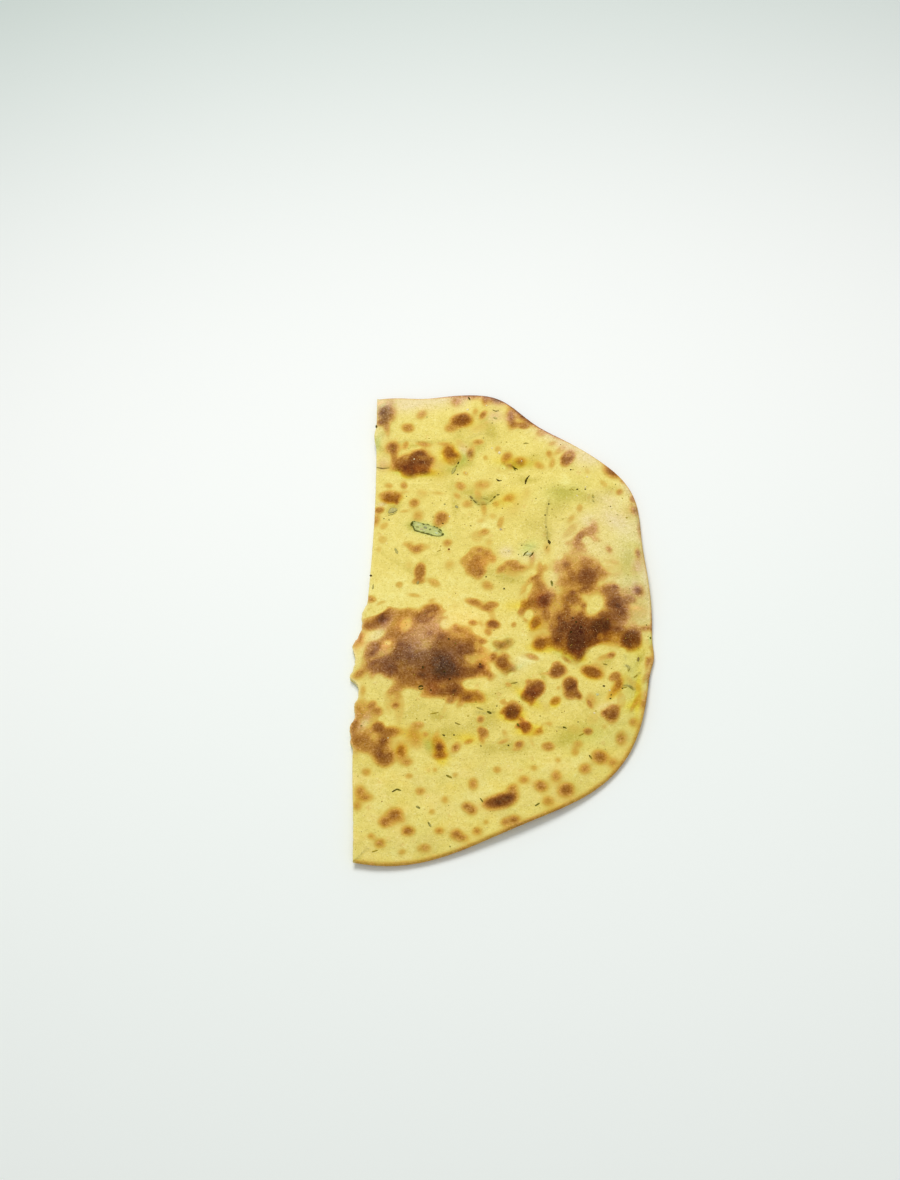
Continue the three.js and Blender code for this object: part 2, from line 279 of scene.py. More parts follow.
# --------------------------------------------------------------------------
# Where the face is browned, floury, olive or pale
# --------------------------------------------------------------------------
# pixel x, y, half width, half height, turn in degrees, strength, steepness of the edge
SPOTS = [
    # upper left
    (386.5, 413.3, 8.5, 8.5, 10, .61, 5.1), (386.4, 425.7, 2.8, 9.1, -9, .41, 3.7), (380.9, 422.6, 4.2, 2.6, -10, .74, 2.4), (421.7, 414.9, 5.3, 3.6, -29, .37, 3.1),
    (455.9, 401.7, 4.5, 4.3, -10, .41, 2.4), (461.6, 420.4, 9.9, 6.1, -3, .79, 7.3), (451, 427.9, 6.1, 4.2, -6, .39, 3.9), (407.9, 427.9, 5.8, 4.1, 6, .47, 4.4),
    (392.8, 447.7, 6.3, 5.1, -11, .68, 4.1), (394, 455.6, 3.3, 7.4, -1, .4, 7), (420, 463.1, 11.5, 11.1, 38, .75, 11.3), (404.1, 463.4, 12.3, 7.4, -21, .64, 7.4),
    (408, 470.3, 8.7, 5.8, 25, .83, 5.7), (438, 467.6, 16.7, 12.4, 81, .12, 2.8), (405.8, 445, 2.8, 3.9, 21, .33, 5.6), (423.4, 444.1, 6.4, 2.5, 9, .41, 3.6),
    (448.8, 452.1, 5.3, 6.2, 11, .67, 5), (454, 459.1, 7.7, 6.3, -20, .29, 10.5), (470.6, 453.8, 3.3, 5.4, 13, .59, 2.4), (478.5, 442.2, 4.5, 2.5, 0, .4, 3.7),
    (475.4, 411.6, 2.7, 3.8, 7, .24, 2.4), (388.5, 485.6, 4.1, 2.7, 5, .26, 3.7), (404, 485.3, 3.4, 3.3, 26, .39, 3.9), (391.9, 498.2, 9.1, 4.9, -11, .71, 6.3),
    (386.3, 494.3, 8, 3.2, -14, .33, 4.5), (414, 503.1, 4.6, 3.9, -22, .46, 4.1), (379, 510, 5.4, 2.9, -6, .49, 5.6), (418, 516.4, 6.1, 5, -49, .31, 2.4),
    (441.7, 517.9, 6.2, 5.8, -15, .56, 4.9), (437.5, 524, 4.6, 3.8, -27, .32, 3.5), (384.4, 525.9, 5, 3.1, -46, .19, 5.1), (374.6, 520.9, 4, 5.8, 27, .5, 2.4),
    (460.5, 486, 3.9, 5.2, -62, .38, 5.4), (457.4, 495.9, 4.2, 2.8, 34, .25, 4), (467.8, 503.8, 5, 3.5, -14, .35, 2.4), (465.5, 473.4, 3.2, 2, 27, .22, 5.3),
    (447.6, 542.9, 3.9, 3.1, -21, .44, 2.4), (449, 551.4, 3, 1.7, 11, .14, 2.9),
    # upper right
    (485.3, 400.1, 2.7, 4.7, 10, .48, 4.4), (498.4, 397.7, 10.1, 5.7, -2, .72, 4.5), (495.6, 415.1, 10.6, 5.3, 13, .13, 2.6), (483, 415.1, 2.6, 4.5, 36, .47, 6.1),
    (511, 416.9, 3.8, 10, 3, .54, 3.4), (514.4, 424.7, 4.1, 3.6, -16, .45, 6.7), (523.2, 426, 5.8, 3.1, 5, .53, 7.3), (524.8, 417.3, 5.4, 1.5, 1, .74, 4.2),
    (530.9, 422.5, 10.2, 2.4, 21, .74, 2.4), (518.8, 412.8, 5.7, 2.2, 37, .6, 6.2), (542.6, 431.6, 7.5, 4.1, -22, .29, 6.9), (554.7, 436.9, 9.3, 1.3, 26, .21, 7.8),
    (506.8, 457.1, 3.9, 5.5, 37, .47, 3.7), (505.6, 468.2, 13.7, 4.5, -14, .14, 2.8), (520.4, 462, 4.4, 3.7, 0, .59, 2.4), (549.1, 453.8, 2.9, 3.4, -12, .36, 3.3),
    (552.5, 443.5, 4.7, 2.2, -12, .26, 2.4), (552.3, 463.3, 4.4, 2.6, -77, .31, 2.4), (539.1, 465.6, 3.4, 5.7, -59, .3, 2.4), (560.4, 449.9, 7.5, 3, -36, .21, 5.8),
    (567.5, 458.4, 5.5, 8.6, 42, .69, 6.7), (613.8, 469.8, 9.2, 6.8, 20, .8, 5.1), (482.4, 485, 7.9, 4.3, -8, .32, 2.4), (478, 496.4, 3.4, 6.2, -17, .22, 4.6),
    (508.4, 498, 5.1, 3.8, -25, .31, 3.2), (495.9, 504, 3.5, 2.8, -18, .24, 3.2), (483.6, 507.2, 3, 7.6, -5, .3, 2.4), (500.4, 522.7, 3, 6, 19, .21, 5.3),
    (485.8, 457.8, 3, 2.9, -11, .19, 4.6), (579.9, 507.9, 3.1, 4.1, 7, .22, 4.3), (571.1, 518.8, 3.1, 5.9, 36, .22, 2.4), (603.7, 483.7, 5.2, 3.1, 39, .16, 11.3),
    (619.4, 492.1, 3.2, 2.7, -14, .43, 3.9), (634.5, 498.7, 4.8, 3.9, 11, .5, 7.1), (634.9, 510.6, 3, 5.5, -37, .48, 3.1), (626.4, 512.2, 9.9, 5.1, -17, .09, 2.4),
    (609.1, 549.4, 2.7, 3.6, -41, .42, 2.7), (637.9, 553.6, 2.3, 4.2, -11, .61, 3),
    # middle
    (382.7, 539.4, 5.1, 4, -6, .17, 5.8), (378.8, 549.5, 3.4, 3.9, 23, .17, 2.4), (417.5, 548.7, 5.4, 3.6, -35, .41, 2.4), (412.2, 548.1, 6.7, 2.7, 30, .3, 4.9),
    (422.7, 547.7, 9.2, 3.6, -11, .12, 9.7), (407.7, 543.3, 7.2, 2.7, -14, .11, 8.7), (420.1, 571.3, 5.3, 8.3, 10, .58, 8.1), (418.3, 581.1, 6.2, 3.3, -6, .37, 6.1),
    (434, 582.5, 7.3, 3.8, 31, .25, 4), (399.4, 584.8, 4.1, 3.3, -18, .23, 4.9), (449.2, 564.8, 6.6, 5.9, -43, .18, 2.6), (413.9, 595.3, 6.7, 2.2, 10, .25, 2.4),
    (369.4, 599.3, 6, 3.4, 0, .43, 4.5), (381.4, 603.8, 5.5, 3, -27, .17, 6.1), (474.6, 561.2, 12.9, 15.9, 46, .34, 11.9), (476.1, 569.1, 10.2, 7.1, 72, .29, 12),
    (488.4, 553.5, 3.6, 3.9, -4, .32, 3.4), (485, 531.6, 4.1, 2.6, -7, .38, 3.3), (476.4, 536.3, 6.9, 6.3, 14, .14, 6.1), (513.4, 569.9, 12.1, 7.7, 4, .18, 5),
    (512.1, 563.3, 7.3, 3.4, 2, .35, 9.1), (518.3, 568.1, 8.3, 2.6, -4, .37, 3.9), (501.1, 568.8, 3, 5.3, 51, .37, 4.2), (487.6, 585.5, 5.7, 4.1, 22, .36, 2.9),
    (474.4, 602.2, 8.2, 3.3, 16, .49, 4.7), (485.8, 608.4, 6, 2.5, 9, .48, 3.7), (491.7, 604.8, 6.6, 3.3, -2, .43, 7.6), (493.1, 624.6, 6.3, 4.1, 7, .75, 6.1),
    (488.2, 632.2, 3.6, 3.2, 36, .39, 3.8), (473, 622.8, 3.9, 2.5, 11, .52, 4.5), (513.8, 624.8, 2.5, 2.3, -16, .38, 3.3), (507.2, 643.4, 6, 4.3, -25, .43, 3.4),
    (499.1, 644.8, 6.6, 4, 20, .41, 6.2), (526.5, 656.2, 9.1, 3.3, 13, .1, 10), (493.1, 657.2, 3.3, 4.5, 27, .57, 4.9),
    # lower
    (508.4, 669.2, 7, 5.7, 8, .54, 4.2), (502, 662.6, 6.6, 5.8, 38, .71, 6.7), (557.8, 671.2, 6, 8.2, 67, .73, 7.4), (591.8, 672.4, 10.4, 5.3, 19, .69, 7.9),
    (596.7, 669.4, 8.8, 7.1, -9, .22, 2.4), (614.6, 676.4, 6.1, 4, -29, .48, 8.1), (618.7, 683.3, 3.1, 5.8, -1, .54, 4.3), (611.5, 655.1, 3.6, 2.8, -19, .49, 5),
    (604.7, 656.8, 7.1, 2.7, -18, .23, 4.5), (649.2, 657.5, 2.9, 9.3, 12, .56, 3.3), (534.5, 689.2, 8.4, 10.7, 58, .82, 10.2), (529.1, 696.1, 7.9, 5.8, -2, .62, 12),
    (569.8, 683.9, 6.8, 6.6, -35, .72, 6.9), (571.3, 692.1, 7.3, 6.8, -25, .65, 7.7), (508.2, 684.9, 3.4, 2.5, 19, .28, 6.4), (511, 711.3, 11.1, 6.5, -22, .66, 8.5),
    (512.2, 713.7, 6.8, 6.2, 21, .73, 7.9), (555.2, 700.7, 5.1, 3.9, -26, .5, 5.2), (592.1, 699, 4.1, 6.9, -27, .26, 2.4), (611.6, 712.2, 6.5, 8.7, 50, .59, 10.8),
    (613.4, 717, 4.6, 6, 34, .5, 4), (523.7, 727.6, 7.8, 6, -8, .75, 8.6), (521, 718.9, 2.2, 3.1, -47, .43, 5.5), (542.5, 728.8, 7.9, 3.2, -33, .54, 3),
    (480.7, 719.3, 3.3, 3.1, -11, .54, 3.6), (483.2, 732.2, 4.2, 6.2, -49, .49, 6.8), (481.4, 738.6, 2.3, 5.3, -15, .41, 2.4), (519.2, 744.5, 4.3, 3.2, -7, .61, 3.5),
    (502.7, 741.8, 5.1, 1.8, -18, .35, 2.4), (548.2, 746.6, 6.2, 4.6, 5, .44, 4.9), (588.2, 731.4, 4.4, 3.6, 9, .55, 5.1), (372, 705.3, 3.5, 4.9, 39, .39, 5.7),
    (377.9, 711.4, 4.1, 3.6, 1, .41, 4.5), (363.1, 711.7, 16.9, 10.4, 11, .28, 4.5), (353.2, 730.7, 6.4, 16.9, 3, .7, 2.4), (367, 744.3, 13.9, 8.2, 41, .29, 8),
    (363.4, 744.6, 10.4, 7.2, 7, .3, 12), (378.4, 727.5, 5.9, 5.5, 5, .66, 6.1), (389.9, 732.2, 9.7, 4.4, -3, .56, 5), (383.1, 741.3, 5.5, 7.1, 22, .83, 2.4),
    (385, 757, 9, 9, 0, .7, 6.2), (377.3, 752.4, 5.2, 6.8, 6, .49, 3.9), (401.1, 751.5, 4.3, 6.9, -6, .63, 3.3), (407, 762, 5, 3.6, 0, .4, 2.4), (439.4, 747.6, 4.4, 6.5, -5, .87, 3.2),
    (440.3, 755.7, 6.2, 2.9, -5, .56, 3.8), (435.2, 737.9, 2.7, 9.7, 21, .19, 2.8), (456, 747.7, 3.3, 4.4, 33, .54, 2.6), (468.8, 741.4, 4.1, 2.4, -25, .39, 3.7),
    (418.2, 725.1, 6.1, 3.7, -1, .32, 5.6), (414.6, 732.2, 5.4, 3.3, 45, .13, 4.5), (399.8, 707.8, 5.6, 16.4, 6, .14, 5.5), (414.3, 738.6, 9.9, 7, 63, .32, 2.4),
    (425.6, 734.2, 2.8, 2.1, 17, .34, 2.4),
    # lowest part
    (360, 791, 5, 5, 0, .46, 2.4), (366, 797.5, 6, 3.6, 0, .44, 2.4), (357, 806, 4, 4.6, 0, .38, 2.4), (395.4, 813.8, 6, 5, 0, .58, 3.3), (384.6, 822, 5, 4.4, 0, .58, 2.8),
    (391, 818, 5, 5, 0, .4, 2.4), (400.7, 819.5, 5, 3, 0, .24, 2.4), (420.4, 791, 4.6, 3.6, 0, .4, 2.4), (408, 831, 5.4, 4.2, 0, .6, 2.9), (439, 830.8, 4, 3.2, 0, .4, 2.4),
    (456, 834, 5, 4, 0, .6, 2.7), (462, 838, 4.6, 3, 0, .46, 2.4), (467, 806.5, 4.6, 3.8, 0, .56, 2.5), (472.5, 811, 4, 3.6, 0, .52, 2.4), (473, 784, 4, 5, 0, .48, 2.4),
    (503, 800.5, 10, 6.6, -10, .84, 6.3), (494, 803, 7, 5, 0, .74, 4.2), (488, 804, 4, 3.6, 0, .56, 2.4), (511, 797, 6, 4.6, -20, .72, 3.2), (514, 819.6, 5, 3.8, 0, .58, 2.7),
    (505.4, 822, 4, 3.2, 0, .48, 2.4), (512.5, 788.5, 4, 4, 0, .46, 2.4), (477, 831, 4, 3.4, 0, .46, 2.4), (524, 779.5, 4.6, 3.8, 0, .4, 2.4), (445, 800, 4, 4, 0, .28, 2.4),
    (432, 812, 3.4, 3, 0, .24, 2.4), (380, 843, 5, 4, 0, .46, 2.4), (371, 836, 3.4, 3, 0, .32, 2.4), (424, 848, 6, 4, 0, .38, 2.4), (402, 852, 4, 3, 0, .26, 2.4),
    (541, 786, 6, 5, 10, .56, 3.3), (556, 776, 4.6, 5, 0, .44, 2.6), (566, 790, 7, 6, -15, .66, 3.9), (585, 769, 5, 4.6, 0, .46, 2.6), (600, 757, 7, 6, 20, .62, 3.9),
    (613, 763, 4, 3.6, 0, .36, 2.4), (575, 752, 4, 4, 0, .3, 2.4), (621, 738, 5, 6, 10, .48, 3), (633, 722, 4, 4, 0, .36, 2.4), (548, 801, 5, 4, 0, .4, 2.4), (486, 822, 3, 3, 0, .24, 2.4),
    (455, 775, 3.4, 3, 0, .22, 2.4), (366, 772, 4.6, 4, 0, .32, 2.4), (409, 776, 4, 3, 0, .26, 2.4), (435, 770, 3, 3, 0, .2, 2.4), (497, 770, 4, 3.4, 0, .3, 2.4),
    (534, 768, 4, 3, 0, .26, 2.4), (558, 760, 3.4, 3, 0, .24, 2.4), (643, 704, 3, 5, 0, .42, 2.4), (635, 703.3, 2.4, 9.9, 29, .29, 4.7), (604, 727, 3, 3, 0, .16, 2.4),
    (574.3, 729.6, 7.8, 5.8, 20, .13, 5.3), (578, 744, 5, 3.6, 0, .3, 2.4),
    # small faint places between the others
    (403.3, 651.3, 12.1, 8.9, 27, .65, 9.5), (610.5, 637.5, 15.1, 6, 15, .53, 2.7), (384.2, 671.7, 14.9, 4.8, -24, .27, 5.4), (356.5, 637, 6.4, 9.9, 8, .62, 4),
    (607.2, 615.8, 9.5, 4, 18, .6, 8.3), (570.1, 530.8, 11.2, 3.9, -43, .15, 7), (566.7, 651.5, 3.3, 4.3, 65, .46, 8.5), (585.6, 590.6, 6.7, 3.6, -16, .8, 4.5),
    (640.2, 611, 8.5, 8.7, 3, .14, 6.7), (535.2, 633.1, 9, 5.2, -9, .1, 12), (492, 614.8, 6.5, 3.9, 60, .15, 5.6), (554.1, 566.2, 7.2, 6.5, 13, .23, 6.4),
    (621.5, 700.7, 4.9, 8, 6, .14, 11.8), (532.2, 559.2, 2.9, 8.6, 6, .25, 3), (615.3, 689.4, 10, 3.6, -53, .41, 2.4), (647.4, 677, 3.5, 7.2, 37, .32, 4.7), (445.4, 707.6, 2.9, 8, 21, .12, 5.3),
    (633.6, 626, 3.9, 6.7, 0, .18, 5.9), (507.9, 702.1, 9.1, 3.6, 4, .25, 10.3), (493, 558.5, 3.3, 4.3, 1, .33, 4.3),
    (479, 653.6, 3.2, 2.2, 10, .34, 6.7), (513.8, 509.3, 9.9, 15.6, 33, .12, 2.6), (469.5, 392.2, 11.4, 5.2, 3, .79, 3.7), (551.3, 673.2, 11.5, 1.4, -4, .28, 2.4),
    (604, 713.3, 3, 2.8, -32, .54, 4.3), (489.5, 602, 6.2, 5.2, 10, .06, 2.4),
    (547.2, 548.5, 3.9, 6.6, -2, .2, 3), (460.1, 703.8, 5.1, 3.2, -51, .23, 5.6), (367.6, 733.8, 7.8, 4.8, -36, .33, 4.7),
    (614.1, 567.6, 5.6, 7.3, -30, .37, 2.7), (531.9, 702.1, 3.3, 2.1, -55, .53, 2.4), (504.8, 732.8, 3.2, 4.9, -34, .18, 2.4), (490.2, 678.6, 3.3, 3, 29, .2, 4.7),
    (478.9, 428.1, 12.6, 5.9, -19, .13, 3), (533.1, 657, 6.1, 2.6, 25, .3, 4.2), (567, 608.9, 3.1, 6.2, -27, .52, 6), (571.8, 575.3, 3.9, 6.3, -19, .44, 5.7),
    # broad patch by the cut: darker places
    (383.7, 617.5, 9.4, 5.5, -37, .93, 4.3), (369.3, 626.2, 9.4, 3.7, 0, .48, 5.7), (431.7, 609.2, 8.2, 4.6, -3, .51, 7.5), (425.1, 617, 10.8, 5.8, -14, .51, 9.2),
    (407.5, 616.4, 12, 7.7, -3, .24, 11.4), (397.4, 635.9, 15.8, 10.1, -24, .4, 5.4), (377, 647.3, 4.2, 7.6, -40, .51, 3.2), (367.3, 653.1, 3.2, 8.2, 22, .38, 3.8),
    (393, 665.1, 14.6, 10.5, 3, .74, 7.1), (372.7, 668.5, 8.2, 5.1, 39, .45, 4.8), (446.5, 648, 16.2, 13.8, -24, .55, 11.9), (445.6, 669.5, 17.8, 13.5, 2, .95, 4.6),
    (466.4, 650.6, 9.1, 10.7, 22, .68, 5.5), (427.7, 658.7, 21.5, 9.6, -11, .62, 9.5), (414.8, 643.6, 7.8, 6.3, 27, .28, 12), (428.1, 631, 17.8, 9.4, 10, .13, 12),
    (459.2, 627.4, 5.6, 6.5, 32, .33, 6.5), (474.1, 641.7, 12.5, 3.2, 47, .24, 9.7), (480.7, 667.2, 4.3, 2.8, -4, .97, 2.6), (464.4, 672.9, 14.2, 5.5, 0, .56, 12),
    (484.4, 673, 10.3, 3.2, 20, .44, 4.5), (421.1, 677.8, 25, 9.4, 0, .5, 12), (435.2, 690.4, 9.6, 5.4, 10, .58, 6.2),
    (454.1, 690.1, 9.2, 7.2, 15, .65, 7.8), (469.1, 697.1, 12.7, 5.4, 0, .34, 12), (395.5, 687.8, 10.3, 3.3, -32, .22, 6.4), (386.9, 704.4, 2.5, 10.6, -16, .13, 2.4),
    (395.4, 705.4, 3.5, 2.8, -8, .51, 4.2), (359.4, 673.9, 3.7, 7.1, 51, .51, 2.9), (482.8, 641.8, 4.3, 2.4, -8, .42, 6),
    # broad patch by the rim: darker places
    (590.5, 529.5, 6.5, 4.9, -28, .24, 12), (580, 536.3, 5.7, 3.4, -47, .4, 8.8), (580.4, 546.8, 3.9, 7.5, -49, .54, 6.6), (594.5, 538.9, 6.8, 2.7, 20, .24, 2.9),
    (566.6, 565.1, 4.2, 4.2, -2, .61, 2.7), (586.6, 577, 10.3, 10.1, 21, .79, 5.5), (587.4, 561.2, 8.2, 5.1, -31, .34, 5),
    (601.8, 570.4, 10, 5.6, -10, .35, 5.7), (571.8, 599.1, 8.9, 5.8, 4, .64, 4.2), (569, 582.6, 8.3, 5.2, 4, .38, 3.3), (540.1, 566.8, 1.8, 5.9, -12, .2, 2.4),
    (541.4, 583.2, 5.6, 10.5, -12, .3, 11), (532.2, 588.6, 13.4, 10.3, -41, .19, 11.4), (543.6, 601.3, 7.5, 7, -24, .9, 5.5), (551.1, 593.2, 5.1, 4.6, -5, .45, 8.1),
    (529.7, 603.3, 8.8, 6.6, -16, .54, 2.8), (521.2, 611.6, 3.8, 3.1, -10, .26, 3.9), (535.8, 622.1, 6.2, 4.3, -41, .49, 6.6), (546.1, 614.9, 4.5, 6.8, -3, .39, 7.8),
    (610.1, 596.1, 9.6, 11, -32, .55, 9.8), (618, 606.6, 11, 9.2, -17, .56, 12), (630.7, 599.3, 5.7, 3.5, 27, .43, 5.7), (638.2, 591, 4.5, 5.3, -41, .76, 2.7),
    (621.1, 616.9, 7, 8.6, 10, .55, 4.3), (577.2, 627.6, 18.1, 13.1, 1, .8, 7.5), (561.3, 621.1, 8.6, 10.3, 6, .64, 6.5), (595.8, 625.8, 6.9, 6.6, 6, .83, 2.4),
    (602.7, 626.3, 10.4, 8.7, -15, .96, 6.6), (582.2, 610.2, 4.5, 6.9, 13, .4, 7.9), (576.2, 640.2, 8.6, 16.7, 10, .96, 12), (581, 653.8, 3.6, 8.1, 31, .79, 4.7),
    (565.2, 641.8, 11.1, 7.9, -28, .56, 8.2), (589.4, 640.6, 15.9, 6.4, -18, .82, 11.9), (557.1, 634.5, 5.8, 8.4, 6, .65, 8), (631, 640, 10.8, 9.8, -16, .88, 9),
    (646.6, 628.4, 12.8, 2.8, -3, .47, 2.7), (617.4, 629.8, 7.7, 4.6, 11, .85, 2.4), (540, 643.9, 6.6, 5.7, -10, .76, 5), (552.6, 642, 9.5, 4.7, 20, .58, 4.8),
    # smallest places
    (390.7, 401.4, 3.9, 5.7, 26, .13, 4.2), (383, 413.3, 3.8, 2, -9, .57, 2.4), (465.5, 414.6, 1.9, 2.5, -56, .34, 3.3), (486.6, 422.5, 1.9, 1.3, -18, .06, 4.6),
    (444.1, 443.9, 5.8, 1.8, 5, .25, 2.4), (460.7, 443.7, 6.7, 3.7, 47, .13, 5.8), (419.5, 453.2, 6.3, 2.9, -6, .72, 3.5), (454.4, 455.9, 3.1, 2.5, -8, .62, 2.4),
    (431.8, 459.7, 2.4, 2.3, 53, .64, 2.4), (382.9, 465.5, 7.2, 6.3, 67, .17, 2.4), (420.9, 462.4, 4.7, 1.8, 4, .89, 2.6), (587.3, 471.2, 2.8, 3.9, -33, .16, 3.8),
    (425.8, 472.3, 4.3, 1.6, 2, .61, 2.4), (527.3, 492.5, 5.3, 8, 4, .1, 2.4), (437.7, 493.3, 7, 2, 5, .16, 2.4), (404.6, 492.2, 7.9, 1.6, -7, .13, 2.4),
    (422.1, 494.2, 6.8, 5.1, 29, .13, 4), (396.6, 502.3, 2.2, 2.3, -36, .63, 7.8), (493, 515.8, 3.9, 3.6, 35, .14, 3.9), (479.9, 521.2, 3.5, 5.4, -88, .14, 2.4),
    (638.4, 527.8, 10.2, 1.5, 88, .31, 2.7), (489.2, 542, 4.6, 4.7, 56, .15, 3.1), (477.2, 558, 4.6, 3, 0, .26, 8.2), (637.2, 566.1, 10.6, 6.2, -65, .22, 2.6),
    (408.9, 565, 5, 5.6, 49, .13, 2.7), (480, 574.1, 3.3, 1.7, -51, .5, 2.4), (484.3, 572.4, 2.2, 3.4, 44, .27, 3.7), (534.1, 578.2, 3.1, 1.8, -16, .36, 2.4),
    (615.1, 586.8, 1.8, 3.5, -64, .5, 5.1), (572.5, 592.6, 2.2, 3.1, -88, .71, 4.4), (432.4, 599.9, 5.3, 2.3, -15, .16, 2.4), (617.3, 606, 4.6, 2.3, 2, .81, 2.4),
    (455.5, 607.5, 5.4, 5.6, 58, .12, 2.4), (585.1, 606.1, 1.9, 2.1, 47, .67, 6), (369.6, 610.3, 2.1, 2.1, 30, .29, 2.4), (559.1, 617.9, 2.1, 1.3, -7, .72, 4.3),
    (374.3, 621.7, 3.4, 3.2, 42, .26, 2.4), (481, 623.2, 2.2, 4.7, -14, .16, 2.4), (550.8, 626.5, 4.5, 1.9, 87, .33, 4.1), (533.3, 627.1, 2.3, 2.2, 46, .43, 2.4),
    (638.5, 633, 2.6, 2.4, -64, .32, 8.5), (543.7, 634.8, 1.5, 3.3, 55, .07, 4.4), (430.2, 634.3, 3.9, 3, -38, .44, 2.4), (440.5, 635.6, 3.7, 3.8, 11, .37, 6.1),
    (605.2, 640, 3.6, 2.2, -7, .52, 3.2), (485.7, 649.5, 5.7, 2.3, 5, .1, 4.7), (505.3, 655.5, 2.2, 4.4, -63, .39, 2.4), (372.9, 653.6, 2.2, 4.6, 41, .7, 4.2),
    (566.5, 659.5, 1.5, 4.8, -57, .43, 2.5), (556.5, 663.8, 4.5, 2.6, -10, .37, 7.9), (375.7, 662.1, 5.3, 2.7, -17, .52, 6.2), (390.7, 674.4, 4.5, 2, -73, .4, 7.3),
    (422.2, 675.5, 5.8, 3.6, 17, .81, 2.4), (528.1, 681, 2.1, 2.9, 67, .38, 3.9), (634.2, 684.6, 9.7, 4, 47, .17, 6.3), (574.9, 685.7, 1.5, 2.8, -7, .77, 2.4),
    (362.8, 689.9, 5.2, 3.6, -84, .21, 2.4), (453.8, 691.5, 4.1, 2.1, -40, .78, 3.3), (477.6, 691.6, 2, 1.5, 20, .29, 6.9), (645.4, 693.9, 5, 2, -85, .2, 2.4),
    (443.8, 693.9, 4.7, 2.6, 5, .49, 2.4), (424.3, 695.2, 4.5, 2.8, 1, .26, 6.9), (578.8, 696.2, 3.7, 2.6, 58, .6, 4.1), (467.9, 698, 4.4, 2.2, -5, .73, 3.3),
    (482.4, 699.2, 3.1, 2.9, 47, .38, 2.4), (450.6, 700.4, 4.1, 3.3, 2, .49, 5.3), (589.5, 703.7, 1.9, 4.6, -29, .51, 4), (545.6, 707.6, 4.2, 7.4, -25, .1, 4),
    (592.6, 718.9, 7, 6.3, -22, .12, 7.3), (355.4, 721.2, 1.5, 1.3, 55, .5, 6.2), (532.3, 743.1, 6.6, 2.1, 64, .15, 2.4),
    (516.8, 749.6, 5, 1.8, -2, .24, 2.4), (622.5, 481.5, 1.6, 2.9, -42, .36, 2.9),
    (497.8, 449.3, 3.9, 3.5, -81, .21, 3.7), (510, 465.8, 1.7, 3.4, -71, .44, 2.9), (404.1, 511.2, 5.8, 1.8, -9, .18, 2.4), (479.9, 550, 2.1, 2.3, -51, .41, 3.2), (525.8, 620.2, 2.2, 3.5, -45, .24, 2.4),
    (567, 543.4, 2.5, 2.4, -1, .18, 2.5), (558.2, 688.2, 2.5, 2.3, -69, .18, 2.7),
]
# softly browned grounds of the two broad patches: outline pixels, softness in pixels, strength
GROUNDS = [
    ([(362, 621), (372, 611), (387, 606), (400, 609), (418, 609), (431, 603), (442, 606), (448, 613), (447, 620), (440, 625), (447, 629), (459, 623), (474, 630), (484, 638), (480, 645), (490, 656),
      (486, 664), (490, 673), (480, 677), (465, 677), (461, 683), (474, 689), (484, 694), (478, 701), (462, 701), (447, 696), (430, 697), (420, 690), (408, 690), (398, 699), (391, 703), (388, 695), (394, 683), (391, 676), (380, 674), (366, 671), (363, 660), (368, 646), (378, 640), (386, 632), (380, 626), (368, 628)], 4.5, .30),
    ([(588, 521), (601, 518), (606, 524), (598, 534), (590, 539), (583, 548), (592, 556), (604, 562), (610, 574), (603, 583), (622, 581), (632, 592), (630, 604), (632, 616), (622, 624), (606, 633), (592, 642), (586, 658), (578, 658), (570, 648), (556, 640), (546, 630), (534, 627), (531, 616), (520, 616),
      (520, 606), (530, 598), (530, 584), (535, 570), (543, 562), (552, 572), (560, 566), (558, 556), (568, 552), (571, 540), (580, 530)], 5.0, .24),
]
